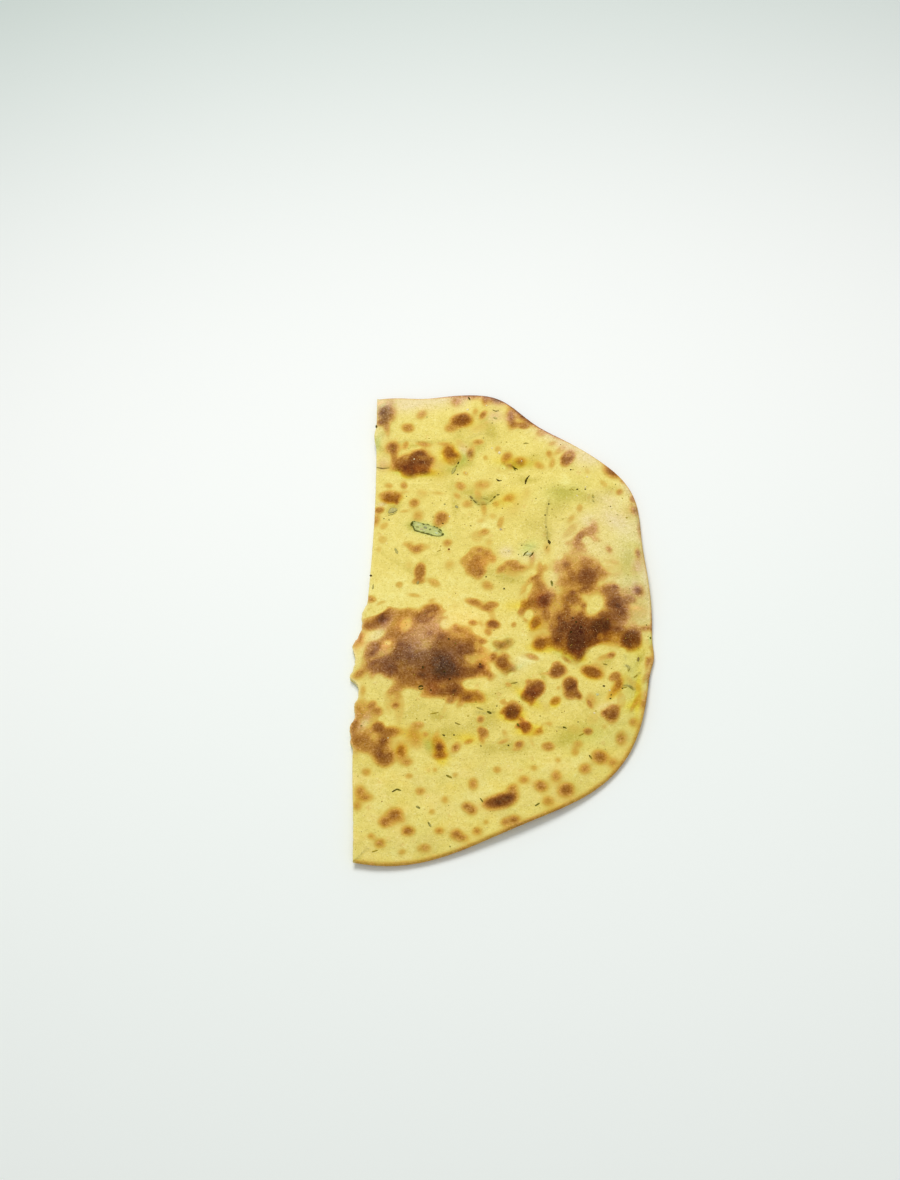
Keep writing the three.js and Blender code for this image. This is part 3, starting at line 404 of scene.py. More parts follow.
# yellow left inside the patches, or clean gaps: pixel, half sizes, turn, strength
CLEAR = [
    (383.3, 404.1, 2.8, 3.5, 29, .55), (455.7, 418, 4.8, 2.6, -40, .15), (415.1, 447.2, 5.2, 1.8, 5, .78), (568.9, 454.9, 3.4, 2.5, 2, .39), (440.4, 457, 2.3, 2.5, 86, .97), (424.6, 458.4, 5.9, 2, 13, .16),
    (406.1, 458.4, 2.9, 1.6, -5, .29), (559.1, 463.7, 4.6, 1.3, 86, .52), (502.9, 467.8, 2.7, 2.8, -20, .79), (402, 469.1, 1.4, 1.1, 45, .11), (395.5, 474.2, 5.1, 2.2, -1, .96), (422, 477.5, 4.4, 2.2, -2, .31),
    (394.1, 494.9, 4.4, 1.8, 1, .23), (508.3, 503.9, 4.3, 2, 18, .65), (389.7, 507.2, 4.9, 3.3, -3, .97), (586.5, 523, 4.7, 4.4, 50, .75), (603.7, 524.3, 11, 5.7, 74, .75), (587.5, 540.2, 3.7, 4.9, 90, .87),
    (465.6, 551.6, 6.6, 2.2, -53, .77), (588.1, 552.5, 13.3, 5.4, 34, .5), (560.4, 557.1, 2.6, 3.2, 54, .67), (542.8, 560.7, 4.4, 1.3, 82, .85), (602.7, 562.5, 4.7, 2.6, 62, .6), (550.2, 565.1, 3.4, 6.2, -2, .47),
    (611.4, 568.1, 9.2, 5.4, 7, .71), (461.7, 571.2, 6.5, 3.6, 75, .77), (533.6, 572.4, 2.9, 3.4, -41, .62), (550, 573.7, 2.5, 2.7, -46, .94), (549.4, 578, 8.8, 8.1, 3, .73), (618.5, 581.2, 2.6, 2.6, 48, .82),
    (599.3, 583.8, 2.6, 3.2, 52, .48), (622.8, 584.4, 3.9, 3.4, -66, .62), (529.4, 587.5, 2.3, 5.3, 29, .74), (555, 589.6, 7.5, 4.8, 15, .47), (586.1, 594.5, 8, 5.3, -24, .31), (524.9, 595.6, 6.9, 3.4, -43, .54),
    (585.2, 597.7, 3.4, 4.7, -26, .5), (526.4, 598.4, 3.9, 1.5, 89, .39), (422.7, 601.6, 1.7, 3.8, -68, .95), (595, 604.8, 8, 12.8, 41, .83), (393.6, 605.2, 11.2, 2.2, 9, .63), (447, 605.7, 3.8, 3.6, -12, .97),
    (516.8, 606.2, 5.7, 3.1, -65, .97), (628.5, 606.4, 5.6, 2.2, 7, .26), (449.2, 606.7, 5.2, 2.7, 81, .92), (381.9, 607.5, 3.7, 2.8, -4, .97), (579, 608.7, 3.3, 2.9, 87, .41), (376.2, 610.9, 12.1, 4.1, -21, .95),
    (370.7, 612.9, 8.7, 2.7, -31, .81), (448.7, 613.5, 2.5, 6, 70, .73), (528.8, 614.1, 4.5, 5.2, 25, .83), (388.3, 614.6, 4.3, 4.1, -35, .21), (431, 614.7, 2.1, 4.1, 52, .32), (460.2, 618.2, 5.9, 10.3, -20, .78),
    (567.3, 619.3, 3.1, 3.9, 76, .17), (583.6, 621, 1.2, 1.1, 85, .09), (555.7, 622.5, 6.5, 2.4, 89, .19), (444.1, 623.8, 5.2, 3.5, -70, .69), (406.1, 624.7, 7.9, 5.3, -59, .64), (477.2, 631.9, 5.7, 3.2, 34, .71),
    (483.1, 635.8, 2.5, 1.9, -3, .84), (374.4, 635.9, 10.1, 4.2, -18, .97), (454, 636.4, 6.3, 3.4, -1, .2), (600.8, 637, 3.1, 3.5, 89, .29), (642.9, 638, 7.2, 1.6, -89, .36), (615.7, 639, 3.6, 2.3, 6, .26),
    (388, 642.8, 3.6, 2.6, -8, .74), (477.4, 645.5, 4.7, 3.1, -90, .43), (388.4, 646.3, 8.7, 6.5, -33, .38), (635.1, 647.4, 4.3, 3.6, 57, .15), (623.4, 649.6, 3.9, 2.7, 2, .72), (604, 650.5, 3.9, 2.3, 4, .97),
    (360.5, 653, 3.2, 13.1, -22, .37), (648.6, 653.1, 3.3, 4.7, -6, .81), (381.3, 653.4, 2.9, 2.9, 76, .43), (587.5, 655.6, 2, 6.1, 51, .42), (478.4, 656.3, 7.1, 3.8, 1, .4), (469.6, 659.2, 6.3, 3.9, 25, .52),
    (403.5, 660.8, 4.1, 3.2, 3, .14), (397.9, 663.9, 2.6, 3.3, -1, .1), (400.9, 668.4, 5.7, 3.1, 87, .2), (513.8, 675.6, 6, 3.5, 9, .94), (378.8, 677.3, 5, 4, -10, .74), (567.4, 681.1, 1.4, 1.1, 0, .11),
    (534.7, 682.1, 2.9, 3.4, 33, .22), (418.6, 683.2, 2.7, 4.8, 52, .2), (530, 684.7, 2.3, 3.2, 61, .22), (469.1, 685.1, 6.7, 4.6, 10, .92), (579.9, 686.6, 4.4, 2.3, -88, .72), (408.1, 692.3, 8.1, 4.1, -4, .69),
    (392.9, 697, 2.1, 1.9, 44, .43), (459.2, 697.5, 4.5, 2.3, -66, .2), (474.2, 697.7, 2.8, 1.6, -6, .18), (545.8, 697.9, 2.9, 3.7, -66, .97), (508.1, 699.1, 2.5, 2.8, 44, .9), (447.8, 705.2, 2.4, 2.5, -78, .53),
    (608.4, 707.4, 3, 2.6, 6, .28), (500.3, 717.3, 3.3, 4.3, 88, .97), (382.3, 718.2, 3.9, 2.3, -26, .92), (508.4, 721.3, 3.4, 1.4, -3, .47), (364.5, 722.6, 4, 3.4, 9, .46), 
    (386.8, 723.8, 2.4, 2.8, 43, .81), (536.8, 723.9, 2.7, 4.1, -56, .97), (545.9, 728.2, 4.3, 4.7, -75, .84), (356.6, 731.3, 3.4, 3.8, 22, .21), (518.3, 732.1, 3.5, 4.8, -54, .9),
    (386.2, 751.5, 5, 2.4, 3, .26),
]
# colour of places: floury and pinkish above 0, which is partly flour and partly painted sheen and painted light;
# saturated golden below 0 (pixel, half sizes, turn, amount)
TONE = [
    (384, 401, 18.2, 9.2, -22, 1.2), (415, 399, 22.5, 8.6, -28, 1.2), (447, 395, 30.2, 10.9, -21, 1.07), (463, 400, 11.8, 7.1, -65, .6), (488, 397, 17.7, 2.8, 1, .72),
    (501, 402, 12.9, 4.6, -2, .81), (375, 420, 11.8, 27.5, -16, .39), (464, 422, 9.1, 4.3, 5, -.79), (495, 416, 8.1, 5.7, -26, .75), (511, 416, 5, 7.8, 49, .68),
    (559, 434, 27, 10.6, 20, 1.2), (569, 446, 11.1, 6.8, 9, .67), (451, 455, 10.8, 7.9, -14, -.98), (463, 450, 5.5, 6.5, -34, .67), (515, 462, 22.2, 5.4, 4, -.54),
    (590, 457, 20.2, 10.4, 1, .86), (383, 464, 6.8, 8.2, 33, .49), (417, 472, 19.6, 4.1, 4, -1.2), (518, 465, 2.7, 4.6, 62, -1.2), (407, 475, 2.9, 4.7, 87, -1.2),
    (629, 488, 10.8, 6.4, 57, .66), (383, 504, 5.8, 2.6, -4, 1.2), (390, 501, 9.6, 3.6, -15, -1.2), (506, 500, 17.5, 7.5, -24, -.39), (610, 500, 17.4, 7.3, 16, .5),
    (614, 519, 19, 10.5, 29, .88), (645, 522, 10.7, 30.8, -24, .62), (589, 522, 11.8, 8.8, 47, .62), (584, 544, 19.4, 31.6, -70, .44), (631, 535, 17.8, 14.1, 36, .32),
    (633, 545, 10.8, 3.7, 5, -.2), (506, 552, 7.2, 6.4, 1, .74), (530, 556, 14.1, 6.6, -9, .45), (619, 549, 24.2, 17.4, -2, .26), (637, 566, 5.2, 7.9, -26, .68),
    (555, 575, 8.1, 25, 15, .4), (621, 581, 21.6, 12.4, 4, .33), (650, 572, 8.5, 32.7, -5, 1.18), (635, 587, 4.4, 9, 13, .55), (522, 605, 20.6, 5.5, -5, -.46),
    (629, 595, 18.8, 19.6, -6, .35), (384, 626, 16.7, 4.7, -52, .55), (431, 627, 12.5, 18.2, 72, .54), (535, 624, 6.9, 5.4, -41, -1.2), (643, 620, 16.2, 30.6, 66, .38),
    (594, 642, 9.6, 2.7, -19, -1.12), (603, 633, 10.8, 8.1, 51, -1.2), (377, 653, 17.8, 29.1, -23, .36), (415, 647, 16.5, 17.5, 13, .61), (546, 646, 16.2, 6.2, -9, -1.2),
    (629, 643, 13.4, 7.3, 29, -.97), (447, 661, 21.7, 14.2, -46, .29), (520, 664, 24, 8.8, -34, .32), (572, 654, 13.5, 4.5, 24, -1.2), (505, 668, 7.6, 4.9, 39, -.66),
    (592, 674, 9, 4.9, 15, -1.2), (648, 684, 3.3, 23.4, 6, .45), (472, 697, 18.4, 7.3, 15, -.41), (528, 698, 15.9, 4.8, 38, -.8), (616, 690, 16.2, 5, -58, -.57),
    (638, 694, 3.3, 22.5, 3, -.75), (555, 703, 4.9, 3.7, -30, -1.2), (607, 705, 11.1, 4.1, -26, .49), (631, 705, 8.4, 5.4, -30, -.5), (364, 723, 10.4, 4.1, -57, .68),
    (512, 715, 12.8, 6.3, -2, -1.2), (412, 735, 25.1, 6.7, 15, -.35), (529, 730, 12.5, 5.4, -4, -1.11), (574, 732, 30.6, 18.3, 15, -.14), (467, 738, 14.9, 6.4, 3, -.52),
    (401, 751, 6.9, 6, -44, -.68), (440, 752, 13.3, 6.5, 74, -1.13),
]
# lightness of the dough, partly its own lighter and deeper olive tone and partly painted shade and highlight of its
# relief and edges: lighter above 0, deeper and olive below 0 (pixel, half sizes, turn, amount)
SHADE = [
    (385, 434, 7.7, 2.5, -25, -1.2), (461, 437, 15.3, 8.4, 43, -.53), (489, 428, 6.2, 14.5, -34, -1.2), (378, 445, 3, 15.3, -40, -1.2), (420, 445, 28.7, 2.6, -10, -.92),
    (477, 446, 6.1, 11.1, 60, -.95), (464, 460, 10.2, 4.5, 33, -1.2), (532, 460, 18, 7.1, -29, -.65), (452, 469, 17.7, 5.4, -24, -.95), (526, 480, 10.9, 3.5, -2, -.92),
    (566, 484, 6.9, 8.3, -57, .9), (472, 493, 25.7, 6.9, 19, -1.03), (495, 494, 9.5, 4, -38, -.86), (564, 490, 14.8, 7.4, 8, -.82), (613, 491, 5.6, 10.7, -78, -.81),
    (629, 490, 3.2, 7, -37, -1.2), (393, 508, 8.4, 5.4, -39, -1.2), (455, 506, 4.6, 9.2, -10, -.8), (559, 501, 23.3, 11, -51, -.68), (591, 498, 12.1, 5.5, 3, -.94),
    (621, 500, 10.2, 17.2, -20, .41), (629, 513, 10.4, 5.5, 66, -.76), (412, 526, 4.7, 5.1, -68, -1.2), (485, 525, 9.2, 6, 15, .66), (533, 525, 16.9, 9, 6, -.49),
    (547, 536, 7, 4.5, 89, -1.02), (636, 540, 7.5, 3.5, 5, .4), (484, 558, 42.3, 22.1, 35, -.22), (644, 550, 8.9, 22.3, -13, -1.15), (408, 569, 22.8, 3.9, 31, -.66),
    (422, 566, 7.9, 4.8, -37, -.94), (627, 562, 7.8, 16.2, 2, -1.2), (507, 578, 19.9, 6.1, 20, -.83), (648, 592, 13.8, 3.7, 78, -1.2), (388, 594, 36.1, 16.5, -14, .26),
    (455, 607, 52.2, 33.6, 27, .13), (641, 618, 13.6, 7.1, 43, -.78), (529, 658, 10.4, 4.8, 0, 1.12), (606, 662, 7.6, 5.5, -15, -1.06), (640, 659, 4, 9.5, 32, -.97),
    (543, 676, 8.9, 2.5, 64, -1.2), (512, 685, 15.5, 6.2, -5, -.6), (631, 685, 11.2, 16, -34, -.54), (476, 700, 22.1, 4.2, -15, -.75), (595, 699, 11.8, 5.6, -47, -.66),
    (413, 711, 19.7, 8.3, -44, -.52), (438, 716, 11, 5.2, -1, -1.02), (478, 726, 18.9, 7.6, -6, -.44), (485, 716, 11.4, 13.7, 0, -.63), (590, 726, 23.9, 14.6, -2, -.48),
    (449, 733, 12.4, 9.1, -18, -.84), (429, 748, 2.6, 7.9, -49, -1.2), (432, 741, 10, 15.4, -30, -.94), (489, 748, 10.5, 6.8, 10, -.77), (513, 747, 15.1, 7.6, 0, -1.2),
    (566, 738, 18.7, 9.6, -17, -.88),
]
# warmth of the colour: reddish above 0, greenish below 0 (pixel, half sizes, turn, amount)
RED = [
    (498, 399, 5.4, 4.1, -35, -1.09), (381, 403, 7.6, 2.5, -17, 1.07), (384, 412, 14.1, 8.4, 88, -1.2), (377, 444, 9.3, 3.7, -80, -1.18), (462, 460, 14.1, 5.2, -30, -1.2),
    (398, 471, 5.1, 3.5, 9, -1.2), (413, 469, 16.9, 5.5, 1, .69), (426, 474, 6.7, 2.5, 0, -1.2), (515, 465, 12.8, 4, -4, -1.2), (411, 476, 8.7, 2.5, -7, -1.16),
    (562, 493, 22.8, 10.8, -4, -.5), (481, 501, 8.4, 4.9, 10, -1.01), (638, 517, 23.5, 2.5, 81, -1.2), (425, 529, 16.2, 6, 13, -1.09), (433, 530, 13.7, 4.4, 21, -1.2),
    (529, 548, 10.3, 6.3, -31, -.98), (641, 552, 8.4, 3.8, -89, -.5), (485, 562, 6.8, 13.5, 69, .49), (632, 573, 46.2, 18.7, 87, -.49), (542, 600, 6.2, 7, -19, 1.2),
    (635, 608, 7.9, 2.6, 11, 1.04), (404, 625, 8.6, 6.7, -13, .76), (466, 625, 36.3, 23, 14, .36), (361, 642, 15.3, 5.6, -63, .48), (509, 642, 3.4, 5.1, -38, -1.2),
    (579, 635, 13.3, 7.1, 77, .6), (651, 642, 7.3, 2.5, 81, -1.13), (387, 645, 5.1, 7.8, 44, .88), (497, 645, 8.5, 5.4, 14, -.84), (577, 652, 5.7, 2.9, 16, 1.14),
    (425, 656, 44.3, 14.2, -5, -.66), (485, 660, 18.2, 8.5, -85, .57), (567, 656, 16.1, 4.3, 26, -.85), (584, 654, 10.1, 2.5, -51, -1), (442, 670, 10.2, 5.7, -13, -1.2),
    (512, 670, 13.9, 3.1, -25, -.98), (432, 689, 8.3, 6.5, -51, .66), (632, 684, 46.8, 11.2, -88, -.46), (647, 684, 8.1, 2.5, 85, -1.2), (522, 698, 2.6, 5.1, -59, -1.2),
    (532, 693, 9.9, 5.1, -26, .79), (524, 724, 5.3, 7, -34, .72), (588, 737, 32.9, 12.8, -8, -.51), (431, 746, 5, 6, -46, -1.2),
]
# lines on the face, as stains and as shallow folds: pixels, half width, green, depth mm
LINES = [
    ([(549, 501), (547.6, 508), (546.4, 516), (546.2, 524), (546.8, 531), (547.6, 540)], 0.9, .40, .20), ([(518.4, 543.4), (526, 545.2), (535.3, 547)], .8, .35, .08), ([(479, 504.6), (484, 503.4), (489, 502.8), (494, 498)], 1.5, .30, .0),
    ([(482, 498), (488, 499.5), (492, 496)], 1.4, .25, .0), ([(376, 467.6), (382, 468.4), (389, 467.6)], 1.2, .30, .08), ([(470, 497), (474, 500), (478.5, 504)], 1.6, .5, .0), ([(493, 661), (497, 668), (503, 671)], 1.0, .2, .0), ([(636, 676), (640, 673)], 1.2, .35, .0),
    ([(624.5, 655), (626, 660)], .9, .3, .0), ([(625, 665), (629, 667), (631, 671)], 1.6, .35, .0), ([(624, 685.6), (630, 686), (634, 689.6)], 1.5, .45, .0), ([(447, 705), (452, 700)], 1.0, .2, .0), ([(476, 712), (486, 713.6), (494, 712)], 1.2, .30, .0),
    ([(510, 682), (518, 684)], 1.2, .25, .0), ([(434, 519), (430, 512)], .8, .14, .0), ([(557, 727), (566, 728)], 1.1, .3, .0),
    ([(398, 443), (406, 440.6), (420, 441.4), (432, 443.4)], 1.4, .16, .10), ([(470, 438), (482, 433), (492, 436)], 1.4, .14, .10), ([(508, 640), (500, 648), (494, 652)], 1.3, .22, .08), ([(558, 560), (566, 566), (574, 562)], 1.2, .05, .10),
]


def polygon_distance(px, py, poly):
    """Signed distance in pixels to a closed outline, positive inside."""
    poly = np.array(poly, float)
    a, b = poly, np.roll(poly, -1, 0)
    best = np.full(len(px), 1e9)
    inside = np.zeros(len(px), bool)
    for (x1, y1), (x2, y2) in zip(a, b):
        ex, ey = x2 - x1, y2 - y1
        t = np.clip(((px - x1) * ex + (py - y1) * ey) / (ex * ex + ey * ey), 0, 1)
        best = np.minimum(best, np.hypot(px - x1 - t * ex, py - y1 - t * ey))
        cross = ((y1 > py) != (y2 > py)) & (px < ex * (py - y1) / (ey if ey else 1e-9) + x1)
        inside ^= cross
    return np.where(inside, best, -best)


def ellipse(px, py, cx, cy, rx, ry, turn=0.0):
    c, s = math.cos(math.radians(turn)), math.sin(math.radians(turn))
    dx, dy = px - cx, py - cy
    return np.hypot((dx * c - dy * s) / rx, (dx * s + dy * c) / ry)


def spot_shape(q, steep):
    """From 1 in the middle of a spot to 0 well outside."""
    c = 1 / (1 + 3.0 ** steep)
    return np.maximum(1 / (1 + q ** steep) - c, 0) / (1 - c)


def face_fields(x, y, z, d, cut):
    """How browned, floury or golden, light or deep, and stained the face is at points; the floury places carry painted
    sheen too, the light and deep ones painted shade and highlight.
    """
    u, v = to_px(x, y, z)
    # the outlines of the spots are uneven: shift the places by two sizes of noise
    wu = 0.45 * N1.layered(x, y, 5.0, 2) + 0.35 * N2.layered(x, y, 1.9, 2)
    wv = 0.45 * N3.layered(x, y, 5.0, 2) + 0.35 * N4.layered(x, y, 1.9, 2)
    su, sv = u + wu, v + wv
    left = np.ones(len(x))
    for cx, cy, rx, ry, turn, strength, steep in SPOTS:
        r = max(rx, ry) * 3
        m = (np.abs(su - cx) < r) & (np.abs(sv - cy) < r)
        if m.any():
            left[m] *= 1 - strength * spot_shape(ellipse(su[m], sv[m], cx, cy, rx, ry, -turn), steep)
    spots = 1 - left
    ground = np.zeros(len(x))
    for poly, soft, strength in GROUNDS:
        p = np.array(poly)
        m = (su > p[:, 0].min() - 12) & (su < p[:, 0].max() + 12) & (sv > p[:, 1].min() - 12) & (sv < p[:, 1].max() + 12)
        k = 1.6 * N5.layered(x[m], y[m], 3.4, 3)
        ground[m] = np.maximum(ground[m], strength * smooth(0.5 + (polygon_distance(su[m], sv[m], poly) + k) / (2 * soft)))
    brown = 1 - (1 - spots) * (1 - ground)
    for cx, cy, rx, ry, turn, strength in CLEAR:
        m = (np.abs(su - cx) < 1.5 * max(rx, ry)) & (np.abs(sv - cy) < 1.5 * max(rx, ry))
        if m.any():
            brown[m] *= 1 - strength * smooth((1.4 - ellipse(su[m], sv[m], cx, cy, rx, ry, -turn)) / 0.8)
    # the outer rim is browned in a thin line; the darker, greyer line along the top edge is painted shade of the rim
    rim = (1 - cut) * np.exp(-(d / 0.7) ** 2)
    top = smooth((440 - v) / 40)
    front = smooth((v - 690) / 40)
    ru = 0.02 + top * np.interp(u, [340, 428, 445, 500, 518, 545, 562, 582, 604], [.08, .08, .50, .55, .80, .80, .42, .22, .06]) + front * (0.34 + 0.2 * N6.layered(x, y, 14, 2)) + 0.05 * smooth(N6.layered(x, y, 11, 2))
    wide = (1 - cut) * np.exp(-(d / 2.6) ** 2) * (0.06 * bell(u - 498, 22) * top + 0.12 * front + 0.02 * smooth(N5.layered(x, y, 11, 2)))
    brown = 1 - (1 - brown) * (1 - rim * ru) * (1 - wide)

    def soft_sum(places):
        out = np.zeros(len(x))
        for cx, cy, rx, ry, turn, amount in places:
            r = 2.0 * max(rx, ry)
            m = (np.abs(su - cx) < r) & (np.abs(sv - cy) < r)
            if m.any():
                out[m] += amount * np.exp(-(ellipse(su[m], sv[m], cx, cy, rx, ry, -turn) ** 2) * 1.1)
        return out

    # what the photograph doesn't show is given the same kind of unevenness
    hidden = smooth((v - np.interp(u, [350, 400, 500, 550, 600, 640, 656], [750, 758, 758, 750, 734, 708, 690])) / 12)
    # tone holds painted sheen along with the floury veil; shade holds painted shade and highlight along with the
    # dough's own tone
    tone = soft_sum(TONE) + (0.03 + 0.22 * hidden) * N4.layered(x, y, 9.0, 3) - 0.10 * hidden * smooth(brown / 0.3)
    shade = soft_sum(SHADE) + (0.03 + 0.30 * hidden) * N2.layered(x, y, 11.0, 3)
    red = soft_sum(RED) + (0.05 + 0.25 * hidden) * N6.layered(x, y, 8.0, 3)
    # the rim line made greyer, most of all along the top edge, where it is painted shade
    tone = tone + rim * (0.28 * top + 0.30 * (1 - top) * (1 - front))
    torn = np.exp(-(d / 0.9) ** 2) * cut * (0.35 + 0.65 * smooth((y - TORN_FROM) / 4) * smooth((TORN_TO - y) / 4))
    tone = tone + 0.5 * torn
    shade = shade + 0.25 * torn
    brown *= 1 - 0.55 * torn
    green, fold = np.zeros(len(x)), np.zeros(len(x))
    for points, width, strength, depth in LINES:
        p = np.array(points)
        m = (u > p[:, 0].min() - 8) & (u < p[:, 0].max() + 8) & (v > p[:, 1].min() - 8) & (v < p[:, 1].max() + 8)
        if not m.any():
            continue
        best = np.full(m.sum(), 1e9)
        pu, pv = u[m] + 0.35 * wu[m], v[m] + 0.35 * wv[m]
        for (x1, y1), (x2, y2) in zip(points[:-1], points[1:]):
            ex, ey = x2 - x1, y2 - y1
            t = np.clip(((pu - x1) * ex + (pv - y1) * ey) / (ex * ex + ey * ey), 0, 1)
            best = np.minimum(best, np.hypot(pu - x1 - t * ex, pv - y1 - t * ey))
        k = np.exp(-(best / width) ** 2)
        green[m] = np.maximum(green[m], strength * k * (0.55 + 0.9 * smooth(0.5 + N1.layered(x[m], y[m], 1.1, 2))))
        fold[m] = np.maximum(fold[m], depth * np.exp(-(best / (1.5 * width)) ** 2))
    return {"brown": brown, "tone": np.clip(tone, -1, 1), "shade": np.clip(shade, -1, 1), "red": np.clip(red, -1, 1), "green": np.clip(green, 0, 1)}, fold


def face(x, y, d=None, cut=None):
    """Height of the browned face and its fields at points inside the outline."""
    if d is None:
        d, cut = edge_distance(x, y)
    z = sheet_height(x, y, d, cut)
    fields, fold = face_fields(x, y, z, d, cut)
    inside = smooth(d / 2.5)
    z = z + inside * (
        0.30 * smooth(fields["brown"] / 0.75)             # browned places are little blisters
        + 0.13 * N5.layered(x, y, 9.0, 2)
        + 0.08 * N6.layered(x, y, 3.4, 2)
        + 0.03 * N1.layered(x, y, 1.4, 2)
        - fold
    )
    top = CAD_HI[2] / MM
    z = np.minimum(z, top - 0.02 - 0.25 * np.exp(-(np.maximum(top - z, 0)) / 0.25))
    return z, fields


def foot_fields(x, y, d, cut):
    """The underside, baked on the griddle: random browned spots of its own."""
    rng = np.random.RandomState(305)
    left = np.ones(len(x))
    wx, wy = x + 0.6 * N3.layered(x, y, 3.0, 3), y + 0.6 * N4.layered(x, y, 3.0, 3)
    for k in range(230):
        cx, cy = rng.uniform(-16, 100), rng.uniform(-100, 100)
        big = rng.rand() ** 2.2
        r = 0.8 + 3.6 * big
        ry = r * rng.uniform(0.65, 1.2)
        s, soft = rng.uniform(0.22, 0.5) + 0.4 * big, rng.uniform(0.35, 0.55)
        q = ellipse(wx, wy, cx, cy, r, ry, rng.uniform(0, 180))
        left *= 1 - s * smooth((1 + soft - q) / (2 * soft))
    for cx, cy, rx, ry, s in ((60, 38, 20, 15, .55), (14, 44, 13, 20, .5), (52, -44, 17, 14, .5), (5, -38, 10, 12, .45), (80, -12, 9, 16, .5)):
        q = ellipse(wx, wy, cx, cy, rx, ry) + 0.55 * N1.layered(x, y, 7.0, 3)
        mottled = 0.45 + 1.0 * smooth(0.5 + 1.1 * N2.layered(x, y, 6.0, 4) + 0.35 * (0.7 - q))
        left *= 1 - np.clip(s * mottled, 0, 0.9) * smooth((1.4 - q) / 0.95)
    brown = 1 - left
    brown = 1 - (1 - brown) * (1 - 0.3 * (1 - cut) * np.exp(-(d / 0.9) ** 2))
    tone = 0.25 * N6.layered(x, y, 12, 3) + 0.20 * smooth(N4.layered(x, y, 18, 3)) + 0.12 * (1 - cut) * np.exp(-(d / 3.5) ** 2) - 0.10 * smooth(brown / 0.4)
    shade = 0.40 * N2.layered(x, y, 13, 3) - 0.15
    red = 0.30 * N5.layered(x, y, 10, 3)
    return {"brown": brown, "tone": tone, "shade": shade, "red": red, "green": 0 * brown}


# --------------------------------------------------------------------------
# The bread's mesh: an even grid on the face, a finely shaped edge, a foot
# --------------------------------------------------------------------------
def inside_ring(x, y, rx, ry):
    """Whether points lie in a closed ring, by counting crossings row by row."""
    ins = np.zeros(len(x), bool)
    x2, y2 = np.roll(rx, -1), np.roll(ry, -1)
    for a, b, c, e in zip(rx, ry, x2, y2):
        if b == e:
            continue
        m = (b > y) != (e > y)
        if m.any():
            ins[m] ^= x[m] < (c - a) * (y[m] - b) / (e - b) + a
    return ins


def grid_patch(h, rx, ry, margin):
    """Squares of size h well inside the ring, their corner points and their border loop."""
    xs = np.arange(rx.min() - h, rx.max() + 2 * h, h)
    ys = np.arange(ry.min() - h, ry.max() + 2 * h, h)
    gx, gy = np.meshgrid(xs, ys, indexing="ij")
    fx, fy = gx.ravel(), gy.ravel()
    # rows are tested against the ring's crossings of that row
    ok = np.zeros(gx.shape, bool)
    x2, y2 = np.roll(rx, -1), np.roll(ry, -1)
    for j, yv in enumerate(ys):
        m = (ry > yv) != (y2 > yv)
        if not m.any():
            continue
        cross = np.sort((x2[m] - rx[m]) * (yv - ry[m]) / (y2[m] - ry[m]) + rx[m])
        count = np.searchsorted(cross, xs)
        ok[:, j] = count % 2 == 1
    near = np.full(gx.shape, 1e9)
    # clearance from the ring, only near it
    for a, b in zip(rx, ry):
        i, j = int((a - xs[0]) / h), int((b - ys[0]) / h)
        w = int(margin / h) + 2
        i0, i1, j0, j1 = max(0, i - w), min(len(xs), i + w + 2), max(0, j - w), min(len(ys), j + w + 2)
        q = np.hypot(gx[i0:i1, j0:j1] - a, gy[i0:i1, j0:j1] - b)
        near[i0:i1, j0:j1] = np.minimum(near[i0:i1, j0:j1], q)
    ok &= near > margin
    cell = ok[:-1, :-1] & ok[1:, :-1] & ok[:-1, 1:] & ok[1:, 1:]
    # no cell may hang on by a corner only, or stick out by a single side
    for _ in range(12):
        p = np.pad(cell, 1)
        n = p[:-2, 1:-1].astype(int) + p[2:, 1:-1] + p[1:-1, :-2] + p[1:-1, 2:]
        bad = cell & (n < 2)
        diag = cell[:-1, :-1] & cell[1:, 1:] & ~cell[1:, :-1] & ~cell[:-1, 1:]
        anti = cell[1:, :-1] & cell[:-1, 1:] & ~cell[:-1, :-1] & ~cell[1:, 1:]
        if not bad.any() and not diag.any() and not anti.any():
            break
        cell &= ~bad
        cell[:-1, :-1] &= ~diag
        cell[1:, :-1] &= ~anti
    ids = -np.ones(gx.shape, int)
    used = np.zeros(gx.shape, bool)
    used[:-1, :-1] |= cell; used[1:, :-1] |= cell; used[:-1, 1:] |= cell; used[1:, 1:] |= cell
    ids[used] = np.arange(used.sum())
    a, b = ids[:-1, :-1][cell], ids[1:, :-1][cell]
    c, e = ids[1:, 1:][cell], ids[:-1, 1:][cell]
    quads = np.stack([a, b, c, e], 1)
    # border edges, anticlockwise
    edges = np.concatenate([quads[:, [0, 1]], quads[:, [1, 2]], quads[:, [2, 3]], quads[:, [3, 0]]])
    n = used.sum()
    key, rev = edges[:, 0] * n + edges[:, 1], edges[:, 1] * n + edges[:, 0]
    border = edges[~np.isin(key, rev)]
    follow = dict(zip(border[:, 0].tolist(), border[:, 1].tolist()))
    assert len(follow) == len(border), "border touches itself"
    loops = []
    while follow:
        start = next(iter(follow))
        loop, at = [], start
        while at in follow:
            loop.append(at)
            at = follow.pop(at)
        loops.append(loop)
    loops.sort(key=len, reverse=True)
    assert len(loops) == 1, f"{len(loops)} loops"
    return gx[used], gy[used], quads, np.array(loops[0])


